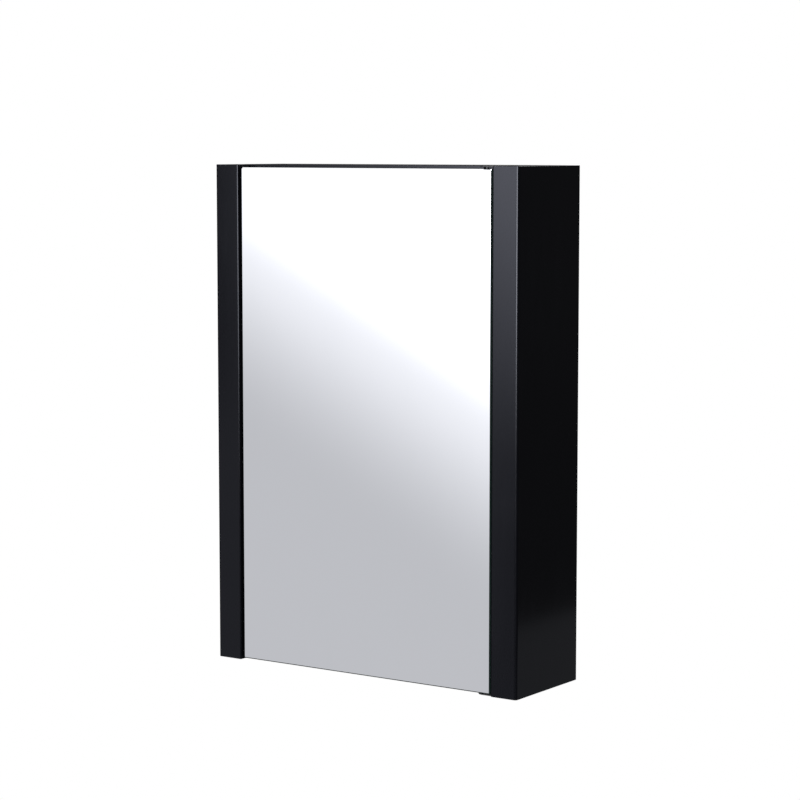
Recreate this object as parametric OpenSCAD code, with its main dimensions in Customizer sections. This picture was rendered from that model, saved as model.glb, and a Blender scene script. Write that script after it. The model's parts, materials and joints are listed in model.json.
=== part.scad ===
// Wall-hung medicine cabinet with one inset mirror door.
// The door turns on two upright pivots beside the right rail; glass shelves sit on pins inside.
// X runs to the right, Y from the mirror to the wall, Z up. The origin is under the middle.

/* [Cabinet] */
// Overall width across the two side panels
cabinet_w = 500; // [420:10:700]
// Overall height
cabinet_h = 700; // [640:10:900]
// Overall depth, from the front rails to the wall
cabinet_d = 155; // [150:5:180]
// Thickness of the carcass boards
board_t = 16; // [16:1:18]
// Width of each front rail, seen from the front
rail_w = 40; // [38:1:60]
// Radius of the rounded upright edges of the front rails
edge_r = 2; // [1:0.5:3]
// Thickness of the back panel
back_t = 4; // [3:1:5]
// Height of the two boards that the wall screws go through
hanger_h = 60; // [50:5:80]

/* [Door] */
// Gap between the mirror and the rail on each side
side_gap = 3; // [3:0.5:4]
// Clearance under the mirror
bottom_gap = 2; // [2:0.5:3]
// Clearance above the mirror
top_gap = 4; // [3:0.5:5]
// How far the mirror sits behind the front of the rails
mirror_recess = 3; // [2:0.5:4]
// Thickness of the mirror glass
mirror_t = 4; // [3:0.5:5]
// Thickness of the foam tape that holds the mirror
tape_t = 1; // [0.8:0.2:1.6]
// Thickness of the door board
door_board_t = 12; // [12:1:14]
// How far the pivot axis is from the hinge edge of the mirror
pivot_inset = 12; // [12:1:14]
// How far the pivot axis is behind the face of the mirror
pivot_setback = 8; // [7.5:0.5:8]

/* [Shelves] */
// Thickness of the glass shelves
shelf_t = 5; // [4:1:6]
// Depth of the glass shelves
shelf_d = 94; // [80:2:94]
// Distance between neighbouring shelf pin holes
pin_pitch = 32; // [30:1:32]
// Pin holes above and below the middle hole of each row
pin_steps = 7; // [5:1:7]

/* [Wall fixing] */
// Distance between the left and right wall screws
wall_span_x = 360; // [300:10:400]
// Diameter of the wall screw holes
wall_hole_d = 6; // [5:0.5:7]

/* [Hidden] */
$fn = 48;
fit = 0.05;

front_y = -cabinet_d / 2;
back_y = cabinet_d / 2;
half_w = cabinet_w / 2;
side_in_x = half_w - board_t;
rail_in_x = half_w - rail_w;
rail_back_y = front_y + board_t;

mirror_x = rail_in_x - side_gap;
mirror_y = front_y + mirror_recess;
mirror_z0 = bottom_gap;
mirror_z1 = cabinet_h - top_gap;
door_y = mirror_y + mirror_t + tape_t;
door_back_y = door_y + door_board_t;
door_x = mirror_x - 1;
door_z0 = mirror_z0 + 1;
door_z1 = mirror_z1 - 1;
band_t = 1;

pivot_x = mirror_x - pivot_inset;
pivot_y = mirror_y + pivot_setback;
pivot_d = 4;
plate_t = 1.5;
block_x0 = pivot_x - 11;
lower_block_h = 20;
upper_block_h = 56;

panel_front_y = door_back_y + 1.5;
sweep_r = norm([pivot_inset, door_back_y - pivot_y]);
notch_y = pivot_y + sweep_r + 1.5;

hanger_y = back_y - board_t;
back_panel_y = hanger_y - back_t;
groove = 6;
wall_z = [board_t + hanger_h / 2, cabinet_h - board_t - hanger_h / 2];

joint_z = board_t / 2;
cam_y = [-8, 42];
dowel_y = [-36, 17];
dowel_d = 8;
dowel_l = 30;
dowel_in_side = 11;
hanger_dowel_d = 6;
hanger_dowel_l = 24;
cam_d = 15;
cam_depth = 12.5;
cam_inset = 24;
cam_bolt_d = 6;

shelf_y = back_panel_y - 1.5 - shelf_d;
shelf_gap = 2;
pin_y = [-24, 36];
pin_d = 5;
pin_depth = 10;
shelf_steps = [-5, 0, 5];
sleeve_t = 0.8;
pin_tongue_h = 3;

latch_x = 20 - mirror_x;
latch_z = board_t + 8;
latch_y0 = panel_front_y + 1;
latch_l = 52;
plunger_r = 4;
plunger_l = 36;
strike_t = 0.8;
strike_l = 38;
plunger_y = door_back_y + strike_t + 0.2;
bumper_t = 1.2;

screw_d = 3;
screw_head_r = 3;

pin_z0 = cabinet_h - 32;
knob_z = pin_z0 + 4;
pin_travel = 6;
spring_z0 = mirror_z1 - 46;

lacquer = [0.07, 0.07, 0.08];
zinc = [0.72, 0.73, 0.75];
dark_plastic = [0.12, 0.12, 0.13];
beech = [0.78, 0.62, 0.42];
shelf_glass = [0.70, 0.88, 0.82, 0.45];
silver_glass = [0.80, 0.84, 0.86];

// ---- Helpers ----

// A copy on each side of the middle plane.
module both_sides() {
    children();
    mirror([1, 0, 0]) children();
}

// A copy at the bottom and one at the top of the cabinet.
module bottom_and_top() {
    children();
    at_top() children();
}

// The same thing turned over to the top of the cabinet.
module at_top() {
    translate([0, 0, cabinet_h]) mirror([0, 0, 1]) children();
}

// A box given by two opposite corners.
module box(low, high) {
    translate(low) cube(high - low);
}

// A cylinder that starts at the origin and runs towards +X.
module rod_x(r, l) {
    rotate([0, 90, 0]) cylinder(r = r, h = l);
}

// A cylinder that starts at the origin and runs towards +Y.
module rod_y(r, l) {
    rotate([-90, 0, 0]) cylinder(r = r, h = l);
}

// A countersunk screw with its flat head at the origin and its point towards -Z.
module screw(l) {
    head_h = screw_head_r - screw_d / 2;
    slot = screw_head_r * 0.6;
    difference() {
        union() {
            translate([0, 0, -head_h]) cylinder(r1 = screw_d / 2, r2 = screw_head_r, h = head_h);
            translate([0, 0, -l]) cylinder(r = screw_d / 2, h = l - head_h);
        }
        for (turn = [0, 90])
            rotate([0, 0, turn]) box([-slot, -0.35, -0.9], [slot, 0.35, 1]);
    }
}

// The space that the same screw takes up.
module screw_hole(l) {
    head_h = screw_head_r - screw_d / 2;
    translate([0, 0, -head_h]) cylinder(r1 = screw_d / 2, r2 = screw_head_r, h = head_h);
    translate([0, 0, -l]) cylinder(r = screw_d / 2, h = l);
    cylinder(r = screw_head_r, h = 1);
}

// A compression spring that stands on the origin.
module coil_spring(r, wire_r, l, turns) {
    steps = 10;
    sides = 6;
    count = turns * steps;
    rise = l - 2 * wire_r;
    rings = [for (i = [0 : count]) for (k = [0 : sides - 1])
        let (a = 360 * i / steps, b = 360 * k / sides, d = r + wire_r * cos(b))
        [d * cos(a), d * sin(a), wire_r + rise * i / count + wire_r * sin(b)]];
    walls = [for (i = [0 : count - 1]) for (k = [0 : sides - 1]) for (half = [0, 1])
        let (a = i * sides + k, b = i * sides + (k + 1) % sides)
        half == 0 ? [a, b, b + sides] : [a, b + sides, a + sides]];
    first = [for (k = [sides - 1 : -1 : 0]) k];
    last = [for (k = [0 : sides - 1]) count * sides + k];
    polyhedron(points = rings, faces = concat(walls, [first, last]));
}

// ---- Carcass ----

// Plan of the right side and its rail, folded round the front corner.
module folded_plan() {
    for (x = [rail_in_x + edge_r, half_w - edge_r])
        translate([x, front_y + edge_r]) circle(r = edge_r);
    translate([rail_in_x + edge_r, front_y]) square([rail_w - 2 * edge_r, board_t]);
    translate([rail_in_x, front_y + edge_r]) square([rail_w, board_t - edge_r]);
    translate([side_in_x, front_y + edge_r]) square([board_t, cabinet_d - edge_r]);
}

// The side of the mitre that belongs to the side panel.
module side_half() {
    polygon([[half_w + 1, front_y - 1], [side_in_x, rail_back_y], [side_in_x, back_y],
        [half_w + 1, back_y]]);
}

// The side of the mitre that belongs to the front rail.
module rail_half() {
    polygon([[half_w + 1, front_y - 1], [side_in_x, rail_back_y], [rail_in_x, rail_back_y],
        [rail_in_x, front_y - 1]]);
}

// Flat biscuits let into the mitre, at the right side.
module biscuit_row() {
    for (z = [80 : (cabinet_h - 160) / 4 : cabinet_h - 80])
        translate([half_w - board_t / 2 - 1, front_y + board_t / 2 + 1, z])
            rotate([0, 0, 45]) intersection() {
                cube([8, 3, 40], center = true);
                rotate([90, 0, 0]) cylinder(r = 21, h = 4, center = true);
            }
}

// Dowels between the bottom panel and the right side.
module panel_dowel_pair(r = dowel_d / 2) {
    for (y = dowel_y)
        translate([side_in_x + dowel_in_side - dowel_l, y, joint_z]) rod_x(r, dowel_l);
}

// Dowels between the lower hanging rail and the right side.
module hanger_dowel_pair() {
    for (z = [-18, 18])
        translate([side_in_x + dowel_in_side - hanger_dowel_l, back_y - board_t / 2,
            wall_z[0] + z]) rod_x(hanger_dowel_d / 2, hanger_dowel_l);
}

// Space for the threaded end of each cam bolt in the right side.
module cam_thread_pair() {
    for (y = cam_y)
        translate([side_in_x, y, joint_z]) rod_x(2.5, dowel_in_side);
}

// The space of the back panel, which cuts its groove in the sides, the top and the bottom.
module back_groove() {
    box([-side_in_x - groove, back_panel_y, board_t - groove],
        [side_in_x + groove, hanger_y, cabinet_h - board_t + groove]);
}

module right_side() {
    difference() {
        linear_extrude(cabinet_h) intersection() {
            folded_plan();
            side_half();
        }
        for (y = pin_y, k = [-pin_steps : pin_steps])
            translate([side_in_x - 1, y, cabinet_h / 2 + k * pin_pitch])
                rod_x(pin_d / 2, pin_depth + 1);
        back_groove();
        biscuit_row();
        bottom_and_top() {
            panel_dowel_pair();
            hanger_dowel_pair();
            cam_thread_pair();
        }
    }
}

module right_rail() {
    difference() {
        linear_extrude(cabinet_h) intersection() {
            folded_plan();
            rail_half();
        }
        biscuit_row();
    }
}

module right_side_panel() {
    color(lacquer) right_side();
}

module left_side_panel() {
    color(lacquer) mirror([1, 0, 0]) right_side();
}

module right_front_rail() {
    color(lacquer) right_rail();
}

module left_front_rail() {
    color(lacquer) mirror([1, 0, 0]) right_rail();
}

module mitre_biscuits() {
    color(beech) both_sides() biscuit_row();
}

// Pockets for one cam and its bolt at the right end of the bottom panel.
module cam_pocket(y) {
    translate([side_in_x - cam_inset, y, -1]) cylinder(r = cam_d / 2, h = cam_depth + 1);
    translate([side_in_x - cam_inset, y, joint_z]) rod_x(4, cam_inset + 1);
}

// The bottom panel, with an ear behind each rail and a notch that the hinge edge of the
// door turns through. The top panel is the same board turned over.
module end_panel() {
    difference() {
        union() {
            box([-side_in_x, panel_front_y, 0], [side_in_x, back_y, board_t]);
            both_sides()
                box([rail_in_x + 1, rail_back_y, 0], [side_in_x, panel_front_y, board_t]);
        }
        box([block_x0 - 1, panel_front_y - 1, -1], [rail_in_x + 1, notch_y, board_t + 1]);
        translate([0, 0, -1]) linear_extrude(1 + plate_t) pivot_plate_plan();
        both_sides() {
            for (y = cam_y) cam_pocket(y);
            panel_dowel_pair();
        }
        plate_screw_places() mirror([0, 0, 1]) screw_hole(14);
        back_groove();
    }
}

module bottom_panel() {
    color(lacquer) difference() {
        end_panel();
        latch_screw_places() screw_hole(14);
    }
}

module top_panel() {
    color(lacquer) at_top() end_panel();
}

module back_panel() {
    color(lacquer) difference() {
        back_groove();
        wall_holes();
    }
}

// The four holes for the wall screws.
module wall_holes() {
    for (x = [-1, 1], z = wall_z)
        translate([x * wall_span_x / 2, back_panel_y - 1, z])
            rod_y(wall_hole_d / 2, board_t + back_t + 2);
}

module hanging_board() {
    difference() {
        box([-side_in_x, hanger_y, board_t], [side_in_x, back_y, board_t + hanger_h]);
        wall_holes();
        both_sides() hanger_dowel_pair();
    }
}

module lower_hanging_rail() {
    color(lacquer) hanging_board();
}

module upper_hanging_rail() {
    color(lacquer) at_top() hanging_board();
}

module hanging_rail_dowels() {
    color(beech) bottom_and_top() both_sides() hanger_dowel_pair();
}

module panel_dowels() {
    color(beech) bottom_and_top() both_sides() panel_dowel_pair();
}

// One cam, with the radial hole that its bolt enters.
module cam(y) {
    translate([side_in_x - cam_inset, y, 1]) difference() {
        cylinder(r = cam_d / 2 - 0.2, h = cam_depth - 1);
        translate([-3.6, 0, joint_z - 1]) rod_x(3.6, cam_d);
        for (turn = [0, 90])
            rotate([0, 0, turn]) box([-4, -0.8, -1], [4, 0.8, 1.5]);
    }
}

module cam_locks() {
    color(zinc) bottom_and_top() both_sides() for (y = cam_y) cam(y);
}

module cam_bolts() {
    color(zinc) bottom_and_top() both_sides() for (y = cam_y)
        translate([side_in_x, y, joint_z]) {
            translate([-cam_inset - 2.5, 0, 0]) rod_x(3.4, 3);
            translate([-cam_inset, 0, 0]) rod_x(1.6, 4);
            translate([-cam_inset + 4, 0, 0]) rod_x(cam_bolt_d / 2, cam_inset - 4);
            rod_x(2.5, dowel_in_side);
        }
}

module cam_caps() {
    color(lacquer) bottom_and_top() both_sides() for (y = cam_y)
        translate([side_in_x - cam_inset, y, 0]) cylinder(r = cam_d / 2, h = 1);
}

// ---- Shelves ----

// The bearing height of the shelf at a step of the pin rows.
function shelf_z(step) = cabinet_h / 2 + step * pin_pitch + pin_tongue_h / 2 + sleeve_t;

module shelf(step) {
    corner_r = 6;
    color(shelf_glass) translate([0, 0, shelf_z(step)]) linear_extrude(shelf_t) {
        half = side_in_x - shelf_gap;
        for (side = [-1, 1])
            translate([side * (half - corner_r), shelf_y + corner_r]) circle(r = corner_r);
        translate([corner_r - half, shelf_y]) square([2 * (half - corner_r), shelf_d]);
        translate([-half, shelf_y + corner_r]) square([2 * half, shelf_d - corner_r]);
    }
}

module lower_shelf() {
    shelf(shelf_steps[0]);
}

module middle_shelf() {
    shelf(shelf_steps[1]);
}

module upper_shelf() {
    shelf(shelf_steps[2]);
}

// Puts its children at each pin hole in use, at both sides.
module pin_places() {
    both_sides() for (step = shelf_steps, y = pin_y)
        translate([side_in_x, y, cabinet_h / 2 + step * pin_pitch]) children();
}

module shelf_pins() {
    color(zinc) pin_places() {
        rod_x(pin_d / 2 - fit, 8);
        translate([-1.2, 0, 0]) rod_x(3.5, 1.2);
        box([-9, -2.5, -pin_tongue_h / 2], [-1.2, 2.5, pin_tongue_h / 2]);
    }
}

module shelf_pin_sleeves() {
    color([0.85, 0.86, 0.86]) pin_places() difference() {
        box([-9.8, -3.3, -pin_tongue_h / 2 - sleeve_t], [-2.4, 3.3, pin_tongue_h / 2 + sleeve_t]);
        box([-9, -2.5, -pin_tongue_h / 2], [-1.2, 2.5, pin_tongue_h / 2]);
        translate([-3.2, 0, 0]) rod_x(3.6, 2);
    }
}

// ---- Fixed pivot hardware ----

// Plan of both pivot plates: a round nose under the door and a tail screwed to the panel.
module pivot_plate_plan() {
    nose_r = 11;
    nose_y = mirror_y + 0.5 + nose_r;
    edge_x = rail_in_x - 0.5;
    tail_y = panel_front_y + 34;
    translate([pivot_x, nose_y]) circle(r = nose_r);
    translate([pivot_x, mirror_y + 0.5]) square([edge_x - pivot_x, nose_r]);
    translate([block_x0, nose_y]) square([edge_x - block_x0, tail_y - nose_y]);
}

// Puts its children at the two plate screws, pointing down.
module plate_screw_places() {
    for (y = [-42, -29])
        translate([pivot_x + 1, y, 0]) children();
}

// The bottom plate; the top one is the same plate turned over.
module pivot_plate(hole_r) {
    difference() {
        linear_extrude(plate_t) pivot_plate_plan();
        translate([pivot_x, pivot_y, -1]) cylinder(r = hole_r, h = plate_t + 2);
        plate_screw_places() mirror([0, 0, 1]) screw_hole(14);
    }
}

module bottom_pivot_plate() {
    color(zinc) pivot_plate(pivot_d / 2);
}

module top_pivot_plate() {
    color(zinc) at_top() pivot_plate(pivot_d / 2 + fit);
}

module bottom_pivot_pin() {
    color(zinc) translate([pivot_x, pivot_y, 0]) {
        cylinder(r = pivot_d / 2, h = 13);
        translate([0, 0, 13]) cylinder(r1 = pivot_d / 2, r2 = pivot_d / 2 - 0.8, h = 0.8);
    }
}

module pivot_washer() {
    color([0.9, 0.9, 0.88]) translate([pivot_x, pivot_y, plate_t]) difference() {
        cylinder(r = 4.5, h = mirror_z0 - plate_t);
        translate([0, 0, -1]) cylinder(r = pivot_d / 2 + fit, h = 3);
    }
}

module pivot_plate_screws() {
    color(zinc) bottom_and_top() plate_screw_places() mirror([0, 0, 1]) screw(14);
}

// ---- Push latch ----

// Puts its children at the two latch screws, pointing down from the top of the flange.
module latch_screw_places() {
    for (place = [[-12, 8], [12, latch_l - 8]])
        translate([latch_x + place[0], latch_y0 + place[1], board_t + 2.5]) children();
}

module latch_housing() {
    bore_l = plunger_y + plunger_l - latch_y0 + 14;
    color(dark_plastic) difference() {
        union() {
            box([latch_x - 8, latch_y0, board_t], [latch_x + 8, latch_y0 + latch_l, latch_z]);
            translate([latch_x, latch_y0, latch_z]) rod_y(8, latch_l);
            box([latch_x - 17, latch_y0, board_t], [latch_x + 17, latch_y0 + latch_l, board_t + 2.5]);
        }
        translate([latch_x, latch_y0 - 1, latch_z]) rod_y(plunger_r + fit, bore_l + 1);
        latch_screw_places() screw_hole(14);
    }
}

module latch_housing_screws() {
    color(zinc) latch_screw_places() screw(14);
}

module latch_spring() {
    color(zinc) translate([latch_x, plunger_y + plunger_l, latch_z])
        rotate([-90, 0, 0]) coil_spring(3.2, 0.4, 14, 6);
}

module latch_plunger() {
    color([0.82, 0.82, 0.82]) translate([latch_x, plunger_y, latch_z]) difference() {
        rod_y(plunger_r, plunger_l);
        translate([0, -1, 0]) rod_y(3, 5);
    }
}

module latch_magnet() {
    color([0.35, 0.35, 0.37]) translate([latch_x, plunger_y, latch_z]) rod_y(3, 4);
}

module door_bumpers() {
    color([0.75, 0.76, 0.77]) bottom_and_top() for (x = [-150, 110])
        translate([x, panel_front_y, joint_z])
            mirror([0, 1, 0]) rotate([-90, 0, 0]) cylinder(r1 = 4, r2 = 3, h = bumper_t);
}

// ---- Door ----

module mirror_glass() {
    color(silver_glass)
        box([-mirror_x, mirror_y, mirror_z0], [mirror_x, mirror_y + mirror_t, mirror_z1]);
}

module mirror_tape() {
    color([0.9, 0.9, 0.9]) for (k = [-2 : 2])
        translate([k * (mirror_x - 30) / 2 - 9.5, mirror_y + mirror_t, mirror_z0 + 24])
            cube([19, tape_t, mirror_z1 - mirror_z0 - 84]);
}

// The corners of the door board that the two pivot blocks fill.
module block_corners() {
    box([block_x0, door_y - 1, 0], [mirror_x, door_back_y + 1, mirror_z0 + lower_block_h]);
    box([block_x0, door_y - 1, mirror_z1 - upper_block_h], [mirror_x, door_back_y + 1, cabinet_h]);
}

module door_board() {
    color(lacquer) difference() {
        box([band_t - door_x, door_y, door_z0 + band_t],
            [door_x - band_t, door_back_y, door_z1 - band_t]);
        block_corners();
        block_screw_places() screw_hole(24);
        strike_screw_places() screw_hole(10);
    }
}

module door_edge_band() {
    color(lacquer) difference() {
        union() {
            for (side = [0, 1]) mirror([side, 0, 0])
                box([door_x - band_t, door_y, door_z0], [door_x, door_back_y, door_z1]);
            for (z = [door_z0, door_z1 - band_t])
                box([band_t - door_x, door_y, z], [door_x - band_t, door_back_y, z + band_t]);
        }
        block_corners();
    }
}

// Puts its children at the block screws, heads on the hinge edge of the door.
module block_screw_places() {
    heights = [mirror_z0 + lower_block_h - 4, mirror_z1 - upper_block_h + 4];
    for (z = heights)
        translate([door_x, door_back_y - 4.2, z]) rotate([0, 90, 0]) children();
}

module lower_pivot_block() {
    color(zinc) difference() {
        box([block_x0, door_y, mirror_z0], [door_x, door_back_y, mirror_z0 + lower_block_h]);
        translate([pivot_x, pivot_y, 0]) cylinder(r = pivot_d / 2 + fit, h = 15);
        block_screw_places() screw_hole(24);
    }
}

module upper_pivot_block() {
    slot_z = knob_z - pin_travel;
    color(zinc) difference() {
        box([block_x0, door_y, mirror_z1 - upper_block_h], [door_x, door_back_y, mirror_z1]);
        translate([pivot_x, pivot_y, spring_z0]) cylinder(r = pivot_d / 2 + fit, h = 100);
        for (z = [slot_z, knob_z])
            translate([pivot_x, pivot_y, z]) rod_y(1.6, 20);
        box([pivot_x - 1.6, pivot_y, slot_z], [pivot_x + 1.6, door_back_y + 1, knob_z]);
        block_screw_places() screw_hole(24);
    }
}

module pivot_block_screws() {
    color(zinc) block_screw_places() screw(24);
}

// Puts its children at the strike plate screws, pointing into the door.
module strike_screw_places() {
    for (z = [-10, 16])
        translate([latch_x, door_back_y + strike_t, latch_z + z]) rotate([-90, 0, 0]) children();
}

module strike_plate() {
    color(zinc) difference() {
        box([latch_x - 9, door_back_y, latch_z - 16],
            [latch_x + 9, door_back_y + strike_t, latch_z - 16 + strike_l]);
        strike_screw_places() screw_hole(9);
    }
}

module strike_plate_screws() {
    color(zinc) strike_screw_places() screw(9);
}

// ---- Sprung upper pivot pin ----

module top_pivot_pin() {
    tip = 0.8;
    color(zinc) translate([pivot_x, pivot_y, 0]) {
        difference() {
            translate([0, 0, pin_z0]) cylinder(r = pivot_d / 2, h = cabinet_h - 0.2 - tip - pin_z0);
            translate([0, 0, knob_z]) rod_y(1.5, 5);
        }
        translate([0, 0, cabinet_h - 0.2 - tip])
            cylinder(r1 = pivot_d / 2, r2 = pivot_d / 2 - tip, h = tip);
    }
}

module pivot_pin_knob() {
    color(dark_plastic) translate([pivot_x, pivot_y, knob_z]) {
        rod_y(1.5, door_back_y - pivot_y + 0.3);
        translate([0, door_back_y - pivot_y + 0.3, 0]) rod_y(3.5, 1.6);
        translate([0, door_back_y - pivot_y + 1.9, 0])
            rotate([-90, 0, 0]) cylinder(r1 = 3.5, r2 = 2.7, h = 0.8);
    }
}

module top_pivot_spring() {
    color(zinc) translate([pivot_x, pivot_y, spring_z0])
        coil_spring(1.55, 0.3, pin_z0 - spring_z0, 8);
}

left_side_panel();
right_side_panel();
left_front_rail();
right_front_rail();
mitre_biscuits();
top_panel();
bottom_panel();
back_panel();
upper_hanging_rail();
lower_hanging_rail();
hanging_rail_dowels();
panel_dowels();
cam_locks();
cam_bolts();
cam_caps();
lower_shelf();
middle_shelf();
upper_shelf();
shelf_pins();
shelf_pin_sleeves();
bottom_pivot_plate();
bottom_pivot_pin();
pivot_washer();
top_pivot_plate();
pivot_plate_screws();
latch_housing();
latch_housing_screws();
latch_spring();
door_bumpers();
latch_plunger();
latch_magnet();
mirror_glass();
mirror_tape();
door_board();
door_edge_band();
lower_pivot_block();
upper_pivot_block();
pivot_block_screws();
strike_plate();
strike_plate_screws();
top_pivot_pin();
pivot_pin_knob();
top_pivot_spring();
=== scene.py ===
# %% [markdown]
# # A wall-hung mirror cabinet
#
# The object is a bathroom cabinet in satin black lacquer. One frameless mirror door sits between
# two full-height rails and turns on two upright pivots. Each cell below makes one piece or one
# finish, and says how else it could be done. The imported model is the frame: every size and place
# in this file is read from it.

# %% Load the frame
import json
import math

import bmesh
import bpy
from mathutils import Euler, Matrix, Vector


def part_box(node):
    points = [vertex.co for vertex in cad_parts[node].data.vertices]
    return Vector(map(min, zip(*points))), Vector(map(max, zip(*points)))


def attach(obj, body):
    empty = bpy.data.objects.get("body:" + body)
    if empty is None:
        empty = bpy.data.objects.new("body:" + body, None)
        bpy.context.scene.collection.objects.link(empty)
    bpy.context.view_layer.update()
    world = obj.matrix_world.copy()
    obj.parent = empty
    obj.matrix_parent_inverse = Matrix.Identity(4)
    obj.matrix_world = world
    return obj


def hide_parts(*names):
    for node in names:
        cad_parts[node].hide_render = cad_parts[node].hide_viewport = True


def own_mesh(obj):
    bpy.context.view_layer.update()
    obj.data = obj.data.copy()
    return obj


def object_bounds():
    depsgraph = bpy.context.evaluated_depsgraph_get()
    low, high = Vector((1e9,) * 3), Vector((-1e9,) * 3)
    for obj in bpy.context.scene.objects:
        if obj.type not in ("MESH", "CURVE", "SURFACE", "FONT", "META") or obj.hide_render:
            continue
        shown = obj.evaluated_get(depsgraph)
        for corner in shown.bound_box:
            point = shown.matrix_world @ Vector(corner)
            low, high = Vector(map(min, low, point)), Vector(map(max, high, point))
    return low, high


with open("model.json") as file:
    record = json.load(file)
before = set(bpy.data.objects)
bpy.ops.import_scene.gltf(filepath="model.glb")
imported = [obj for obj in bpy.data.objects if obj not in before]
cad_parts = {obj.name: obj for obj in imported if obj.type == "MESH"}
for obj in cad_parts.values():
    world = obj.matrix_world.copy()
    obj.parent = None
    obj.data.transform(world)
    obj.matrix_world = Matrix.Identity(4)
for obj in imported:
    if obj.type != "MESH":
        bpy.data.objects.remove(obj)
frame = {"nodes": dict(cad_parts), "record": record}
cad_box = [list(corner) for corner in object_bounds()]
RECORD = frame["record"]
BODY = {node: body for body, members in RECORD["behaviour"]["bodies"].items() for node in members}
SLOT = {row["node"]: row["material_slot"] for row in RECORD["subparts"]}

# %% [markdown]
# ## Where things are
#
# A node that holds several equal fasteners is one mesh with several loose shells. Their places
# could be typed in by hand, but then they would go stale when the model changes. Walking the
# connected vertices of the mesh gives one box for each shell instead.

# %% Boxes and shells of the frame
MM = 0.001


def shells(node):
    """Lowest and highest corner of each loose shell of a node, sorted by place."""
    bm = bmesh.new()
    bm.from_mesh(frame["nodes"][node].data)
    bmesh.ops.remove_doubles(bm, verts=bm.verts, dist=0.01 * MM)
    left = set(bm.verts)
    found = []
    while left:
        stack = [left.pop()]
        shell = list(stack)
        while stack:
            for edge in stack.pop().link_edges:
                for vert in edge.verts:
                    if vert in left:
                        left.remove(vert)
                        stack.append(vert)
                        shell.append(vert)
        low = Vector([min(v.co[axis] for v in shell) for axis in range(3)])
        high = Vector([max(v.co[axis] for v in shell) for axis in range(3)])
        found.append((low, high))
    bm.free()
    return sorted(found, key=lambda pair: tuple(round(value, 5) for value in pair[0]))


def middle(pair):
    """The middle of a box given by its two corners."""
    return (pair[0] + pair[1]) / 2


CABINET = (Vector(cad_box[0]), Vector(cad_box[1]))
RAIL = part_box("right_front_rail")
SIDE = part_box("right_side_panel")
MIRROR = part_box("mirror_glass")
for node in ("cam_caps", "shelf_pins", "pivot_plate_screws", "strike_plate_screws"):
    print(node, len(shells(node)), "shells")

# %% [markdown]
# ## Wiring helpers for shaders
#
# A shader tree is a list of nodes and the links between them. Writing each link by hand makes
# long scripts, so one helper adds a node and fills its sockets: a plain value is stored on the
# socket, and another node's output is linked to it.

# %% Shader helpers


def add(tree, kind, values=None, **settings):
    """Adds a node, changes its settings, then fills its input sockets."""
    node = tree.nodes.new(kind)
    for name, value in settings.items():
        setattr(node, name, value)
    for socket, value in (values or {}).items():
        if isinstance(value, bpy.types.NodeSocket):
            tree.links.new(value, node.inputs[socket])
        else:
            node.inputs[socket].default_value = value
    return node


def math_node(tree, operation, first, second=0.0, clamp=False):
    """The result of one sum on two numbers."""
    return add(tree, "ShaderNodeMath", {0: first, 1: second}, operation=operation,
               use_clamp=clamp).outputs[0]


def rescale(tree, value, low, high, new_low=0.0, new_high=1.0):
    """Maps a range of one value to another range, with soft ends."""
    return add(tree, "ShaderNodeMapRange", {"Value": value, "From Min": low, "From Max": high,
               "To Min": new_low, "To Max": new_high}, interpolation_type="SMOOTHSTEP").outputs[0]


def mix_colour(tree, factor, first, second):
    """A colour between two others."""
    return add(tree, "ShaderNodeMix", {0: factor, 6: first, 7: second},
               data_type="RGBA").outputs[2]


def object_place(tree):
    """The point on the piece, in metres in the frame."""
    return add(tree, "ShaderNodeTexCoord").outputs["Object"]


def effect_group(name, inputs, outputs):
    """An empty shader group with number inputs and outputs, and its two end nodes."""
    group = bpy.data.node_groups.new(name, "ShaderNodeTree")
    for label, value in inputs.items():
        socket = group.interface.new_socket(label, in_out="INPUT", socket_type="NodeSocketFloat")
        socket.default_value = value
    for label in outputs:
        group.interface.new_socket(label, in_out="OUTPUT", socket_type="NodeSocketFloat")
    return group, group.nodes.new("NodeGroupInput").outputs, group.nodes.new("NodeGroupOutput")


def use(tree, group, values=None):
    """Places an effect group in a material and returns its outputs."""
    node = add(tree, "ShaderNodeGroup", node_tree=group)
    for socket, value in (values or {}).items():
        if isinstance(value, bpy.types.NodeSocket):
            tree.links.new(value, node.inputs[socket])
        else:
            node.inputs[socket].default_value = value
    return node.outputs


print("shader helpers ready")

# %% [markdown]
# ## Effects that several finishes share
#
# Sprayed lacquer is never optically flat: it has a slow ripple called orange peel and a fine
# grain from dust in the air. Corners rub thinner than faces, and hands leave soft patches of
# gloss. Each effect is a group with its own inputs, so lacquer, plastic and steel can use the
# same one at different strengths.

# %% Effect: sprayed skin


def make_sprayed_skin():
    group, ins, out = effect_group("sprayed skin", {"Ripple": 260.0, "Grain": 2600.0,
                                                    "Grain share": 0.25}, ["Height"])
    place = object_place(group)
    ripple = add(group, "ShaderNodeTexNoise", {"Vector": place, "Scale": ins["Ripple"],
                                               "Detail": 1.5, "Roughness": 0.4})
    grain = add(group, "ShaderNodeTexNoise", {"Vector": place, "Scale": ins["Grain"],
                                              "Detail": 2.0, "Roughness": 0.6})
    fine = math_node(group, "MULTIPLY", grain.outputs[0], ins["Grain share"])
    height = math_node(group, "ADD", ripple.outputs[0], fine)
    group.links.new(height, out.inputs["Height"])
    return group


SPRAYED_SKIN = make_sprayed_skin()
print("made", SPRAYED_SKIN.name)

# %% Effect: hand marks


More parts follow.
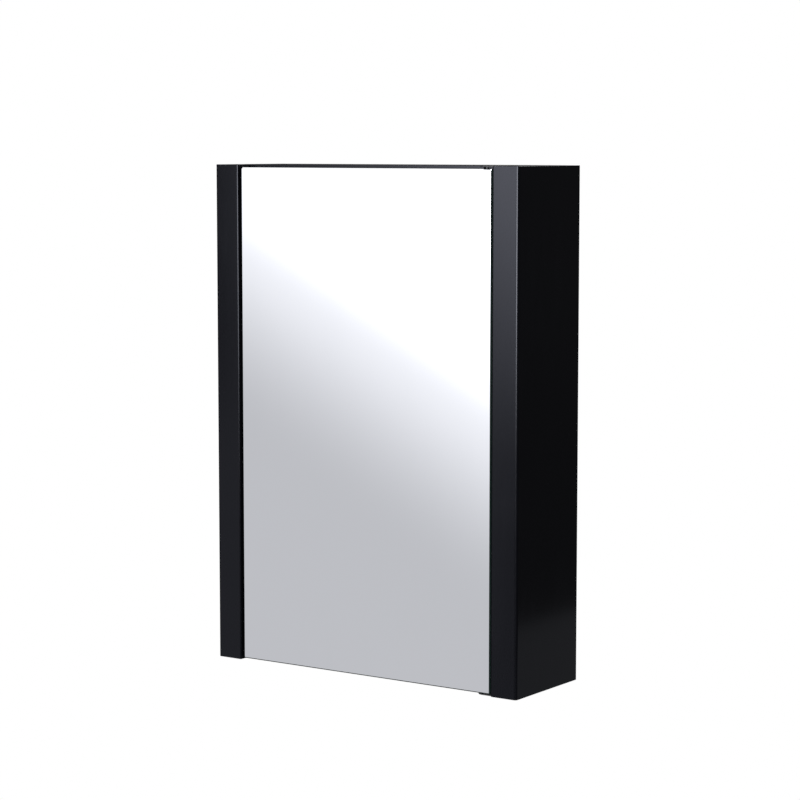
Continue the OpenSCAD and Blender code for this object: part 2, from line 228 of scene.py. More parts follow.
def make_hand_marks():
    group, ins, out = effect_group("hand marks", {"Patch": 7.0, "Streak": 38.0}, ["Mask"])
    place = object_place(group)
    patch = add(group, "ShaderNodeTexNoise", {"Vector": place, "Scale": ins["Patch"],
                                              "Detail": 3.0, "Roughness": 0.55, "Distortion": 0.6})
    stretch = add(group, "ShaderNodeMapping", {"Vector": place, "Scale": (1.0, 1.0, 0.22)})
    streak = add(group, "ShaderNodeTexNoise", {"Vector": stretch.outputs[0],
                                               "Scale": ins["Streak"], "Detail": 4.0,
                                               "Roughness": 0.6, "Distortion": 0.3})
    broad = rescale(group, patch.outputs[0], 0.38, 0.66)
    thin = rescale(group, streak.outputs[0], 0.35, 0.75)
    both = math_node(group, "MULTIPLY", broad, thin)
    group.links.new(both, out.inputs["Mask"])
    return group


HAND_MARKS = make_hand_marks()
print("made", HAND_MARKS.name)

# %% Effect: dust


def make_dust():
    group, ins, out = effect_group("dust", {"Specks": 900.0, "Clumps": 14.0}, ["Mask"])
    place = object_place(group)
    specks = add(group, "ShaderNodeTexVoronoi", {"Vector": place, "Scale": ins["Specks"]})
    clumps = add(group, "ShaderNodeTexNoise", {"Vector": place, "Scale": ins["Clumps"],
                                               "Detail": 3.0})
    dots = rescale(group, specks.outputs["Distance"], 0.16, 0.05)
    thick = rescale(group, clumps.outputs[0], 0.45, 0.7)
    up = add(group, "ShaderNodeSeparateXYZ",
             {0: add(group, "ShaderNodeNewGeometry").outputs["Normal"]})
    settled = rescale(group, up.outputs["Z"], 0.2, 1.0, 0.15, 1.0)
    mask = math_node(group, "MULTIPLY", math_node(group, "MULTIPLY", dots, thick), settled)
    group.links.new(mask, out.inputs["Mask"])
    return group


DUST = make_dust()
print("made", DUST.name)

# %% Effect: edge wear


def make_edge_wear():
    group, ins, out = effect_group("edge wear", {"Edge": 0.0, "Breaks": 90.0}, ["Mask"])
    place = object_place(group)
    breaks = add(group, "ShaderNodeTexNoise", {"Vector": place, "Scale": ins["Breaks"],
                                               "Detail": 5.0, "Roughness": 0.65})
    broken = rescale(group, breaks.outputs[0], 0.42, 0.62)
    mask = math_node(group, "MULTIPLY", ins["Edge"], broken, clamp=True)
    group.links.new(mask, out.inputs["Mask"])
    return group


EDGE_WEAR = make_edge_wear()
print("made", EDGE_WEAR.name)

# %% [markdown]
# ## A start for every finish
#
# Every finish here is a Principled BSDF, because one shader covers paint, metal, glass and
# rubber. Numbers that are the same all over the piece go on its own sockets, and only what
# changes over the surface is wired in.

# %% Finish helper


def finish(name, **sockets):
    """A new material, its node tree and its Principled node with plain values set."""
    material = bpy.data.materials.new(name)
    material.use_nodes = True
    tree = material.node_tree
    shader = tree.nodes["Principled BSDF"]
    for label, value in sockets.items():
        shader.inputs[label.replace("_", " ")].default_value = value
    return material, tree, shader


def wire(tree, shader, **sources):
    """Links outputs to the Principled node's named sockets."""
    for label, source in sources.items():
        tree.links.new(source, shader.inputs[label.replace("_", " ")])


def bump(tree, height, strength, depth):
    """A normal that a height in the range 0 to 1 raises by a depth in metres."""
    return add(tree, "ShaderNodeBump", {"Height": height, "Strength": strength,
                                        "Distance": depth}).outputs[0]


def edge_value(tree):
    """The piece's own edge attribute: 1 on its rounded edges, 0 on its faces."""
    return add(tree, "ShaderNodeAttribute", attribute_name="edge").outputs["Fac"]


print("finish helpers ready")

# %% [markdown]
# ## Satin black lacquer
#
# The boards are fibreboard with a sprayed satin coat. A clear coat over a black base would be
# too shiny, so the base layer does it alone: a low index of refraction keeps its reflections weak,
# and a little roughness keeps them soft. The edges are greyer and smoother where they are rubbed.

# %% Finish: black lacquer


def make_black_lacquer():
    material, tree, shader = finish("satin black lacquer", IOR=1.34,
                                    Specular_Tint=(0.84, 0.87, 1.0, 1))
    worn = use(tree, EDGE_WEAR, {"Edge": edge_value(tree), "Breaks": 70.0})["Mask"]
    marks = use(tree, HAND_MARKS, {"Patch": 5.0, "Streak": 30.0})["Mask"]
    dust = use(tree, DUST, {"Specks": 700.0, "Clumps": 10.0})["Mask"]
    skin = use(tree, SPRAYED_SKIN, {"Ripple": 300.0, "Grain": 2400.0})["Height"]
    tone = mix_colour(tree, marks, (0.0022, 0.0023, 0.0034, 1), (0.0032, 0.0033, 0.0046, 1))
    rubbed = mix_colour(tree, math_node(tree, "MULTIPLY", worn, 0.55), tone,
                        (0.012, 0.012, 0.014, 1))
    dusty = mix_colour(tree, math_node(tree, "MULTIPLY", dust, 0.05), rubbed,
                       (0.30, 0.29, 0.28, 1))
    dull = math_node(tree, "ADD", math_node(tree, "MULTIPLY", marks, 0.03), 0.15)
    rough = math_node(tree, "SUBTRACT", dull, math_node(tree, "MULTIPLY", worn, 0.06))
    wire(tree, shader, Base_Color=dusty, Roughness=rough,
         Normal=bump(tree, skin, 0.30, 0.02 * MM))
    return material


BLACK_LACQUER = make_black_lacquer()
print("made", BLACK_LACQUER.name)

# %% [markdown]
# ## Mirror
#
# A household mirror is clear glass with silver behind it. Modelling the glass and the silver
# apart gives two reflections a few millimetres apart that nobody sees, so the front face is a
# smooth metal with the faint blue-grey of glass. The polished edge is a finish of its own.

# %% Finish: mirror and its edge


def make_silvered_glass():
    material, tree, shader = finish("silvered glass", Metallic=1.0, IOR=1.52)
    marks = use(tree, HAND_MARKS, {"Patch": 4.0, "Streak": 24.0})["Mask"]
    dust = use(tree, DUST, {"Specks": 600.0, "Clumps": 8.0})["Mask"]
    tone = mix_colour(tree, marks, (0.925, 0.938, 0.955, 1), (0.915, 0.930, 0.946, 1))
    dusty = mix_colour(tree, math_node(tree, "MULTIPLY", dust, 0.05), tone,
                       (0.70, 0.70, 0.70, 1))
    haze = math_node(tree, "ADD", math_node(tree, "MULTIPLY", marks, 0.015), 0.004)
    wire(tree, shader, Base_Color=dusty, Roughness=haze)
    return material


def make_polished_edge():
    material, tree, shader = finish("polished glass edge", IOR=1.52)
    skin = use(tree, SPRAYED_SKIN, {"Ripple": 500.0, "Grain": 5000.0})["Height"]
    tint = mix_colour(tree, skin, (0.006, 0.012, 0.011, 1), (0.010, 0.019, 0.017, 1))
    rough = math_node(tree, "ADD", math_node(tree, "MULTIPLY", skin, 0.08), 0.05)
    wire(tree, shader, Base_Color=tint, Roughness=rough, Normal=bump(tree, skin, 0.2, 0.02 * MM))
    return material


def make_backing_paint():
    material, tree, shader = finish("mirror backing paint", IOR=1.45)
    skin = use(tree, SPRAYED_SKIN, {"Ripple": 200.0, "Grain": 1500.0})["Height"]
    tint = mix_colour(tree, skin, (0.16, 0.17, 0.18, 1), (0.24, 0.25, 0.26, 1))
    wire(tree, shader, Base_Color=tint, Roughness=math_node(tree, "ADD", skin, 0.1),
         Normal=bump(tree, skin, 0.3, 0.05 * MM))
    return material


SILVERED_GLASS = make_silvered_glass()
POLISHED_EDGE = make_polished_edge()
BACKING_PAINT = make_backing_paint()
print("made", SILVERED_GLASS.name, "and", POLISHED_EDGE.name)

# %% [markdown]
# ## Shelf glass
#
# Clear float glass looks colourless through its face and green along its edge, because the light
# in the edge has crossed the whole pane. Two finishes on one piece show both.

# %% Finish: shelf glass


def make_shelf_glass(name, tint, deeper, roughness):
    material, tree, shader = finish(name, IOR=1.52, Transmission_Weight=1.0)
    marks = use(tree, HAND_MARKS, {"Patch": 9.0, "Streak": 45.0})["Mask"]
    colour = mix_colour(tree, marks, tint, deeper)
    rough = math_node(tree, "ADD", math_node(tree, "MULTIPLY", marks, 0.03), roughness)
    wire(tree, shader, Base_Color=colour, Roughness=rough)
    return material


SHELF_FACE = make_shelf_glass("clear shelf glass", (0.955, 0.985, 0.975, 1),
                              (0.94, 0.975, 0.965, 1), 0.0)
SHELF_EDGE = make_shelf_glass("green shelf edge", (0.34, 0.72, 0.60, 1),
                              (0.28, 0.64, 0.53, 1), 0.06)
print("made", SHELF_FACE.name, "and", SHELF_EDGE.name)

# %% [markdown]
# ## Metals
#
# Cast and plated parts have a soft, even sheen; turned and stamped parts keep fine lines from
# the tool. Both come from one builder: stretched noise gives the lines, how far it is stretched
# says how the part was made, and the depth of its bump says how much was polished away.

# %% Finish: metals


def make_metal(name, tone, bright, roughness, lines, stretch, depth=0.25):
    material, tree, shader = finish(name, Metallic=1.0)
    turn = add(tree, "ShaderNodeMapping", {"Vector": object_place(tree), "Scale": stretch})
    brushed = add(tree, "ShaderNodeTexNoise", {"Vector": turn.outputs[0], "Scale": lines,
                                               "Detail": 4.0, "Roughness": 0.6}).outputs[0]
    worn = use(tree, EDGE_WEAR, {"Edge": edge_value(tree), "Breaks": 400.0})["Mask"]
    base = mix_colour(tree, brushed, tone, bright)
    colour = mix_colour(tree, math_node(tree, "MULTIPLY", worn, 0.4), base, (0.86, 0.86, 0.86, 1))
    varied = rescale(tree, brushed, 0.3, 0.7, roughness - 0.02, roughness + 0.03)
    rough = math_node(tree, "SUBTRACT", varied, math_node(tree, "MULTIPLY", worn, 0.08))
    wire(tree, shader, Base_Color=colour, Roughness=rough,
         Normal=bump(tree, brushed, depth, 0.02 * MM))
    return material


NICKEL = make_metal("satin nickel", (0.62, 0.61, 0.59, 1), (0.68, 0.67, 0.64, 1), 0.29, 2200.0,
                    (1.0, 1.0, 1.0), depth=0.05)
BRIGHT_STEEL = make_metal("zinc-plated steel", (0.52, 0.54, 0.57, 1), (0.64, 0.66, 0.70, 1),
                          0.30, 1400.0, (1.0, 1.0, 0.1))
MAGNET = make_metal("magnet plating", (0.30, 0.30, 0.31, 1), (0.40, 0.40, 0.41, 1), 0.22, 1600.0,
                    (1.0, 1.0, 1.0), depth=0.08)
print("made", NICKEL.name, BRIGHT_STEEL.name, MAGNET.name)

# %% [markdown]
# ## Powder coat, plastics and rubber
#
# Powder-coated steel and moulded plastic both scatter light, but powder coat has a coarser skin.
# Silicone lets some light through, so it gets a little transmission rather than a pale colour
# alone.

# %% Finish: coats, plastics and rubber


def make_moulded(name, tone, lighter, roughness, ripple, depth, **sockets):
    material, tree, shader = finish(name, **sockets)
    skin = use(tree, SPRAYED_SKIN, {"Ripple": ripple, "Grain": ripple * 5,
                                    "Grain share": 0.5})["Height"]
    worn = use(tree, EDGE_WEAR, {"Edge": edge_value(tree), "Breaks": 300.0})["Mask"]
    base = mix_colour(tree, rescale(tree, skin, 0.3, 0.9), tone, lighter)
    bright = tuple(min(1.0, value * 1.6 + 0.02) for value in lighter[:3]) + (1,)
    colour = mix_colour(tree, math_node(tree, "MULTIPLY", worn, 0.5), base, bright)
    rough = rescale(tree, skin, 0.3, 0.9, roughness - 0.05, roughness + 0.07)
    wire(tree, shader, Base_Color=colour, Roughness=rough, Normal=bump(tree, skin, 0.5, depth))
    return material


BLACK_STEEL = make_moulded("black powder coat", (0.014, 0.014, 0.015, 1),
                           (0.024, 0.024, 0.026, 1), 0.42, 1100.0, 0.06 * MM)
BLACK_PLASTIC = make_moulded("black moulded plastic", (0.012, 0.012, 0.013, 1),
                             (0.020, 0.020, 0.021, 1), 0.46, 1600.0, 0.03 * MM)
WHITE_PLASTIC = make_moulded("white moulded plastic", (0.70, 0.70, 0.68, 1),
                             (0.80, 0.80, 0.78, 1), 0.38, 1600.0, 0.02 * MM)
SILICONE = make_moulded("clear silicone", (0.72, 0.75, 0.75, 1), (0.84, 0.86, 0.86, 1), 0.32,
                        900.0, 0.02 * MM, Transmission_Weight=0.55, IOR=1.41)
FOAM = make_moulded("white foam tape", (0.66, 0.66, 0.64, 1), (0.86, 0.86, 0.84, 1), 0.85,
                    1500.0, 0.25 * MM)
print("made", BLACK_STEEL.name, BLACK_PLASTIC.name, SILICONE.name)

# %% [markdown]
# ## Beech
#
# Dowels and biscuits are beech. They are hidden in the joints, but a cut-away or a loose part
# shows them, so they have growth lines along their length and short dark pores.

# %% Finish: beech


def make_beech():
    material, tree, shader = finish("beech")
    along = add(tree, "ShaderNodeMapping", {"Vector": object_place(tree),
                                            "Scale": (0.12, 1.0, 1.0)}).outputs[0]
    rings = add(tree, "ShaderNodeTexNoise", {"Vector": along, "Scale": 520.0, "Detail": 3.0,
                                             "Distortion": 0.4}).outputs[0]
    pores = add(tree, "ShaderNodeTexVoronoi", {"Vector": along, "Scale": 1900.0})
    wood = mix_colour(tree, rings, (0.46, 0.30, 0.17, 1), (0.66, 0.47, 0.29, 1))
    dark = rescale(tree, pores.outputs["Distance"], 0.2, 0.05)
    colour = mix_colour(tree, math_node(tree, "MULTIPLY", dark, 0.5), wood, (0.28, 0.17, 0.09, 1))
    wire(tree, shader, Base_Color=colour, Roughness=rescale(tree, rings, 0.3, 0.7, 0.45, 0.6),
         Normal=bump(tree, rings, 0.4, 0.05 * MM))
    return material


BEECH = make_beech()
MATERIALS = {"black_lacquer": BLACK_LACQUER, "beech": BEECH, "zinc": NICKEL,
             "steel": BRIGHT_STEEL, "black_steel": BLACK_STEEL, "black_plastic": BLACK_PLASTIC,
             "white_plastic": WHITE_PLASTIC, "clear_rubber": SILICONE, "magnet_steel": MAGNET,
             "foam_tape": FOAM, "shelf_glass": SHELF_FACE, "mirror": SILVERED_GLASS}
missing = sorted(set(SLOT.values()) - set(MATERIALS))
print(len(MATERIALS), "finishes for the record's slots; without one:", missing)

# %% [markdown]
# ## Rounding edges
#
# No real edge is perfectly sharp, and the thin bright line along a rounded edge is what makes
# a board look solid. The Bevel modifier rounds every edge sharper than a limit, and Weighted
# Normal keeps the big faces flat. The bevel's own faces are marked on the way, so the finish
# knows where the edges are.

# %% Mesh helpers


def new_object(name, bm):
    """An object at the origin that holds the mesh, with its faces pointing out."""
    bmesh.ops.remove_doubles(bm, verts=bm.verts, dist=0.002 * MM)
    bmesh.ops.recalc_face_normals(bm, faces=bm.faces)
    mesh = bpy.data.meshes.new(name)
    bm.to_mesh(mesh)
    bm.free()
    obj = bpy.data.objects.new(name, mesh)
    bpy.context.scene.collection.objects.link(obj)
    return obj


def add_box(bm, size, centre):
    """Adds a box to a mesh that is being made."""
    corners = bmesh.ops.create_cube(bm, size=1.0)["verts"]
    bmesh.ops.scale(bm, verts=corners, vec=size)
    bmesh.ops.translate(bm, verts=corners, vec=centre)


def box_object(name, size, centre):
    """An object that is one box."""
    bm = bmesh.new()
    add_box(bm, size, centre)
    return new_object(name, bm)


def applied(obj):
    """Turns an object's modifiers into plain mesh."""
    bpy.context.view_layer.update()
    shaped = obj.evaluated_get(bpy.context.evaluated_depsgraph_get())
    mesh = bpy.data.meshes.new_from_object(shaped)
    obj.modifiers.clear()
    old = obj.data
    obj.data = mesh
    bpy.data.meshes.remove(old)
    return obj


def cut_away(obj, cutter, self_crossing=False):
    """Cuts the cutter's shape out of an object, then removes the cutter."""
    cut = obj.modifiers.new("cut", "BOOLEAN")
    cut.operation = "DIFFERENCE"
    cut.solver = "EXACT"
    cut.use_self = self_crossing
    cut.object = cutter
    applied(obj)
    bpy.data.objects.remove(cutter)
    return obj


def mark_edges(mesh):
    """Stores edge = 1 on the points that touch only bevel faces, which have material index 1."""
    touching = [[] for _ in mesh.vertices]
    for face in mesh.polygons:
        for point in face.vertices:
            touching[point].append(face.material_index == 1)
    values = [1.0 if flags and all(flags) else 0.0 for flags in touching]
    mesh.attributes.new("edge", "FLOAT", "POINT").data.foreach_set("value", values)
    mesh.polygons.foreach_set("material_index", [0] * len(mesh.polygons))


def rounded(obj, width, segments=3, limit=35):
    """Rounds an object's sharp edges and marks them."""
    obj.data.materials.clear()
    obj.data.materials.append(None)      # index 0, the faces
    obj.data.materials.append(None)      # index 1, the bevels
    obj.data.polygons.foreach_set("use_smooth", [True] * len(obj.data.polygons))
    bevel = obj.modifiers.new("rounding", "BEVEL")
    bevel.width = width
    bevel.segments = segments
    bevel.limit_method = "ANGLE"
    bevel.angle_limit = math.radians(limit)
    bevel.material = 1
    bevel.miter_outer = "MITER_ARC"
    flat = obj.modifiers.new("flat faces", "WEIGHTED_NORMAL")
    flat.keep_sharp = True
    applied(obj)
    mark_edges(obj.data)
    obj.data.materials.clear()
    return obj


print("rounding helpers ready")

# %% [markdown]
# ## Taking a board from the frame
#
# Most boards already have the right shape in the frame, with their notches and holes, but with
# razor edges. The frame's own mesh must not change, so a copy is merged, cleaned of the
# triangles on its flat faces and rounded.

# %% Softened copies and stand-ins


def cad_copy(node, name):
    """A clean copy of a node's mesh as a new object."""
    bm = bmesh.new()
    bm.from_mesh(frame["nodes"][node].data)
    bmesh.ops.remove_doubles(bm, verts=bm.verts, dist=0.01 * MM)
    bmesh.ops.dissolve_limit(bm, angle_limit=math.radians(0.5), verts=bm.verts, edges=bm.edges)
    return new_object(name, bm)


def stands_for(obj, *nodes, material=None):
    """Gives a finished piece its finish and its body, and hides the nodes that it stands for."""
    if not obj.data.materials:
        obj.data.materials.append(material or MATERIALS[SLOT[nodes[0]]])
    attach(obj, BODY[nodes[0]])
    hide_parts(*nodes)
    return obj


def soften(node, width, **options):
    """A rounded stand-in with a node's own shape."""
    piece = rounded(cad_copy(node, node + "_shape"), width, **options)
    return stands_for(piece, node)


BOARD_EDGE = 0.5 * MM
for node in ("top_panel", "bottom_panel", "back_panel", "upper_hanging_rail",
             "lower_hanging_rail", "door_board"):
    piece = soften(node, BOARD_EDGE)
    print(node, len(piece.data.polygons), "faces")

# %% [markdown]
# ## The folded sides
#
# Each side and its front rail are one coated board, cut with a V-groove and folded, so the
# lacquer runs round the front corner without a seam. Bevelling a box would round every edge by
# the same amount. Drawing the plan with an arc at each corner and raising it gives the two big
# front radii and keeps the rear edges crisp.

# %% Outline helper


def arc_corners(corners, steps=10):
    """Points of a closed outline whose corners are (x, y, radius)."""
    points = []
    for index, (x, y, radius) in enumerate(corners):
        here = Vector((x, y))
        before = (Vector(corners[index - 1][:2]) - here).normalized()
        after = (Vector(corners[(index + 1) % len(corners)][:2]) - here).normalized()
        if radius == 0:
            points.append(here)
            continue
        half_turn = before.angle(after) / 2
        start = here + before * (radius / math.tan(half_turn))
        end = here + after * (radius / math.tan(half_turn))
        centre = here + (before + after).normalized() * (radius / math.sin(half_turn))
        for step in range(steps + 1):
            ray = (start - centre).slerp(end - centre, step / steps)
            points.append(centre + ray.normalized() * radius)
    return points


def raised(name, outline, low_z, high_z):
    """An upright prism on an outline."""
    bm = bmesh.new()
    base = bm.faces.new([bm.verts.new((point.x, point.y, low_z)) for point in outline])
    lifted = bmesh.ops.extrude_face_region(bm, geom=[base])
    top = [item for item in lifted["geom"] if isinstance(item, bmesh.types.BMVert)]
    bmesh.ops.translate(bm, verts=top, vec=(0, 0, high_z - low_z))
    return new_object(name, bm)


OUTER_RADIUS = 4 * MM
INNER_RADIUS = 2 * MM
print("the outer corner has a radius of", OUTER_RADIUS / MM, "mm")

# %% [markdown]
# ## Drilling the shelf pin holes
#
# Two rows of holes on a fixed pitch are a job for Geometry Nodes: one drill, repeated on a line,
# and the line repeated for each row. The drills are cut out of the side with a Boolean, so the
# holes are real and a loose side shows them. Their places come from the pins that sit in them.

# %% Drill tree


def geometry_tree(name, inputs):
    """A geometry tree with named inputs and one geometry output; the Set Material at its end comes
    from end_tree.
    """
    tree = bpy.data.node_groups.new(name, "GeometryNodeTree")
    sockets = {}
    for label, kind, value in inputs:
        socket = tree.interface.new_socket(label, in_out="INPUT", socket_type="NodeSocket" + kind)
        if value is not None:
            socket.default_value = value
        sockets[label] = socket.identifier
    tree.interface.new_socket("Pieces", in_out="OUTPUT", socket_type="NodeSocketGeometry")
    return tree, tree.nodes.new("NodeGroupInput").outputs, sockets


def end_tree(tree, geometry, material):
    """Realizes the instances, sets the material and closes the tree."""
    real = add(tree, "GeometryNodeRealizeInstances", {0: geometry})
    coated = add(tree, "GeometryNodeSetMaterial", {"Geometry": real.outputs[0],
                                                   "Material": material})
    smooth = add(tree, "GeometryNodeSetShadeSmooth", {"Geometry": coated.outputs[0]})
    out = tree.nodes.new("NodeGroupOutput")
    tree.links.new(smooth.outputs[0], out.inputs[0])


def run_tree(name, tree, sockets, values, source=None):
    """Runs a tree on a new object and returns the plain mesh that it makes."""
    mesh = source or bpy.data.meshes.new(name)
    obj = bpy.data.objects.new(name, mesh)
    bpy.context.scene.collection.objects.link(obj)
    modifier = obj.modifiers.new(name, "NODES")
    modifier.node_group = tree
    for label, value in values.items():
        modifier[sockets[label]] = value
    return applied(obj)


def make_drill_tree():
    tree, ins, sockets = geometry_tree("drill rows", [
        ("Radius", "Float", 2.5 * MM), ("Depth", "Float", 10 * MM), ("Pitch", "Float", 32 * MM),
        ("Holes", "Int", 15), ("Row gap", "Float", 60 * MM), ("Finish", "Material", None)])
    drill = add(tree, "GeometryNodeMeshCylinder", {"Vertices": 28, "Radius": ins["Radius"],
                                                   "Depth": ins["Depth"]})
    lying = add(tree, "GeometryNodeTransform", {"Geometry": drill.outputs[0],
                                                "Rotation": (0, math.pi / 2, 0)})
    rise = add(tree, "ShaderNodeCombineXYZ", {"Z": ins["Pitch"]})
    column = add(tree, "GeometryNodeMeshLine", {"Count": ins["Holes"],
                                                "Offset": rise.outputs[0]})
    row = add(tree, "GeometryNodeInstanceOnPoints", {"Points": column.outputs[0],
                                                     "Instance": lying.outputs[0]})
    across = add(tree, "ShaderNodeCombineXYZ", {"Y": ins["Row gap"]})
    pair = add(tree, "GeometryNodeMeshLine", {"Count": 2, "Offset": across.outputs[0]})
    rows = add(tree, "GeometryNodeInstanceOnPoints", {"Points": pair.outputs[0],
                                                      "Instance": row.outputs[0]})
    end_tree(tree, rows.outputs[0], ins["Finish"])
    return tree, sockets


DRILL_TREE, DRILL_SOCKETS = make_drill_tree()
print("made the tree", DRILL_TREE.name)

# %% Cut the sides
PINS = shells("shelf_pins")
PIN_HEIGHTS = sorted({round(middle(pin).z, 5) for pin in PINS})
PIN_ROWS = sorted({round(middle(pin).y, 5) for pin in PINS})
PITCHES_PER_SHELF = 5
HOLE_PITCH = (PIN_HEIGHTS[1] - PIN_HEIGHTS[0]) / PITCHES_PER_SHELF
HOLES = 15
HOLE_RADIUS = 2.5 * MM
HOLE_DEPTH = 10 * MM


def drilled(obj, inner_x):
    """Cuts both rows of pin holes and the back panel's groove into a side."""
    low = Vector((inner_x, PIN_ROWS[0], PIN_HEIGHTS[1] - HOLE_PITCH * (HOLES // 2)))
    values = {"Radius": HOLE_RADIUS, "Depth": 2 * HOLE_DEPTH, "Pitch": HOLE_PITCH,
              "Holes": HOLES, "Row gap": PIN_ROWS[-1] - PIN_ROWS[0]}
    drills = run_tree("drills", DRILL_TREE, DRILL_SOCKETS, values)
    drills.data.transform(Matrix.Translation(low))
    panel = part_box("back_panel")
    bm = bmesh.new()
    bm.from_mesh(drills.data)
    add_box(bm, panel[1] - panel[0], middle(panel))
    bm.to_mesh(drills.data)
    bm.free()
    return cut_away(obj, drills)


def folded_side(side):
    """A side and its front rail as one folded board. side is 1 at the right, -1 at the left."""
    outer, inner = CABINET[1].x, SIDE[0].x
    front, back, rail_back = CABINET[0].y, CABINET[1].y, RAIL[1].y
    plan = [(inner, back, 0), (outer, back, 0), (outer, front, OUTER_RADIUS),
            (RAIL[0].x, front, INNER_RADIUS), (RAIL[0].x, rail_back, 0), (inner, rail_back, 0)]
    outline = [Vector((side * point.x, point.y)) for point in arc_corners(plan)]
    name = ("right" if side > 0 else "left") + "_folded_side"
    board = raised(name, outline, CABINET[0].z, CABINET[1].z)
    drilled(board, side * inner)
    return rounded(board, BOARD_EDGE, limit=40)


for side, word in ((1, "right"), (-1, "left")):
    piece = folded_side(side)
    stands_for(piece, word + "_side_panel", word + "_front_rail")
    print(piece.name, len(piece.data.polygons), "faces")

# %% [markdown]
# ## The mirror door's glass
#
# The pane is 4 mm float glass with its front edges ground at 45 degrees, which is the thin line
# round a frameless mirror. A single bevel segment is right here, because the arris is a flat cut
# and not a radius. The faces then get the silver, the edge or the paint by the way they face, and
# the upper cut is silvered too, because it shows the bright ceiling.

# %% Mirror glass


def mirror_pane():
    low, high = MIRROR
    arris, corner = 1.6 * MM, 2.2 * MM
    bm = bmesh.new()
    add_box(bm, high - low, middle(MIRROR))
    corner_edges = [edge for edge in bm.edges
                    if all(abs(vert.co.x) > high.x - MM for vert in edge.verts)
                    and abs(edge.verts[0].co.y - edge.verts[1].co.y) > MM]
    bmesh.ops.bevel(bm, geom=corner_edges, offset=corner, segments=4, affect="EDGES", profile=0.5)
    front = [edge for edge in bm.edges if all(vert.co.y < low.y + 0.1 * MM for vert in edge.verts)]
    bmesh.ops.bevel(bm, geom=front, offset=arris, segments=1, affect="EDGES", profile=0.5)
    pane = new_object("mirror_pane", bm)
    for material in (SILVERED_GLASS, POLISHED_EDGE, BACKING_PAINT):
        pane.data.materials.append(material)
    for face in pane.data.polygons:
        upper_cut = face.normal.y < -0.5 and face.normal.z > 0.5
        face.material_index = 0 if upper_cut or face.normal.y < -0.99 else 1
        if face.normal.y > 0.99:
            face.material_index = 2
    return pane


pane = stands_for(mirror_pane(), "mirror_glass")
print("mirror", len(pane.data.polygons), "faces")

# %% [markdown]
# ## Glass shelves
#
# Each shelf has rounded front corners and a pencil-polished edge. The plan is drawn with arcs and
# raised, as the sides are, and the rim is rounded with the same helper. The faces that look up or
# down are clear, and the rest show the green of the edge.

# %% Shelves


def glass_shelf(node):
    low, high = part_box(node)
    corner, rear_corner, rim = 6 * MM, 0.5 * MM, 0.8 * MM
    plan = [(low.x, high.y, rear_corner), (high.x, high.y, rear_corner),
            (high.x, low.y, corner), (low.x, low.y, corner)]
    shelf = raised(node + "_pane", arc_corners(plan, steps=12), low.z, high.z)
    rounded(shelf, rim, segments=3, limit=50)
    shelf.data.materials.append(SHELF_FACE)
    shelf.data.materials.append(SHELF_EDGE)
    for face in shelf.data.polygons:
        face.material_index = 0 if abs(face.normal.z) > 0.99 else 1
    return stands_for(shelf, node)


for node in ("lower_shelf", "middle_shelf", "upper_shelf"):
    print(node, len(glass_shelf(node).data.polygons), "faces")

# %% [markdown]
# ## Turned parts
#
# Pins, bushes, bumpers and knobs are round about one axis. A lathe does the same as the real
# machine: draw half the profile, then turn it. Spin closes the form, and the poles are merged.

# %% Lathe helper
AXIS_TURN = {"x": Euler((0, math.pi / 2, 0)), "y": Euler((-math.pi / 2, 0, 0)),
             "z": Euler((0, 0, 0))}


def turned_mesh(profile, steps=40):
    """A closed form turned about Z from (radius, height) points."""
    bm = bmesh.new()
    points = [bm.verts.new((radius, 0, height)) for radius, height in profile]
    edges = [bm.edges.new(pair) for pair in zip(points, points[1:])]
    bmesh.ops.spin(bm, geom=points + edges, axis=(0, 0, 1), cent=(0, 0, 0), steps=steps,
                   angle=2 * math.pi, use_duplicate=False)
    bmesh.ops.remove_doubles(bm, verts=bm.verts, dist=0.001 * MM)
    bmesh.ops.recalc_face_normals(bm, faces=bm.faces)
    return bm


def turned(name, profile, place, axis="z", flip=False, steps=40):
    """A turned object that starts at a place and runs along an axis."""
    bm = turned_mesh(profile, steps)
    if flip:
        bmesh.ops.rotate(bm, verts=bm.verts, cent=(0, 0, 0), matrix=Matrix.Rotation(math.pi, 3, "X"))
    turn = AXIS_TURN[axis].to_matrix()
    bmesh.ops.rotate(bm, verts=bm.verts, cent=(0, 0, 0), matrix=turn)
    bmesh.ops.translate(bm, verts=bm.verts, vec=place)
    obj = new_object(name, bm)
    obj.data.polygons.foreach_set("use_smooth", [True] * len(obj.data.polygons))
    obj.data.set_sharp_from_angle(angle=math.radians(50))
    return obj


def joined(name, objects):
    """One object from several, keeping their meshes in place."""
    bm = bmesh.new()
    for obj in objects:
        bm.from_mesh(obj.data)
        bpy.data.objects.remove(obj)
    mesh = bpy.data.meshes.new(name)
    bm.to_mesh(mesh)
    bm.free()
    obj = bpy.data.objects.new(name, mesh)
    bpy.context.scene.collection.objects.link(obj)
    return obj


print("lathe ready")

# %% [markdown]
# ## Door bumpers
#
# Small silicone domes on the edges of the top and bottom boards keep the door from knocking.
# Each is a half profile with a curved crown, turned about the Y axis.

# %% Bumpers


def dome_profile(radius, height, steps=6):
    """Half the section of a low dome."""
    crown = [(radius * math.cos(math.pi / 2 * step / steps),
              height * (0.45 + 0.55 * math.sin(math.pi / 2 * step / steps)))
             for step in range(steps + 1)]
    return [(0, 0), (radius, 0)] + crown[:-1] + [(0, height)]


bumpers = []
for index, (low, high) in enumerate(shells("door_bumpers")):
    base = Vector(((low.x + high.x) / 2, high.y, (low.z + high.z) / 2))
    profile = dome_profile((high.x - low.x) / 2, high.y - low.y)
    bumpers.append(turned(f"bumper_{index}", profile, base, "y", flip=True))
stands_for(joined("bumper_domes", bumpers), "door_bumpers")
print(len(bumpers), "bumpers")

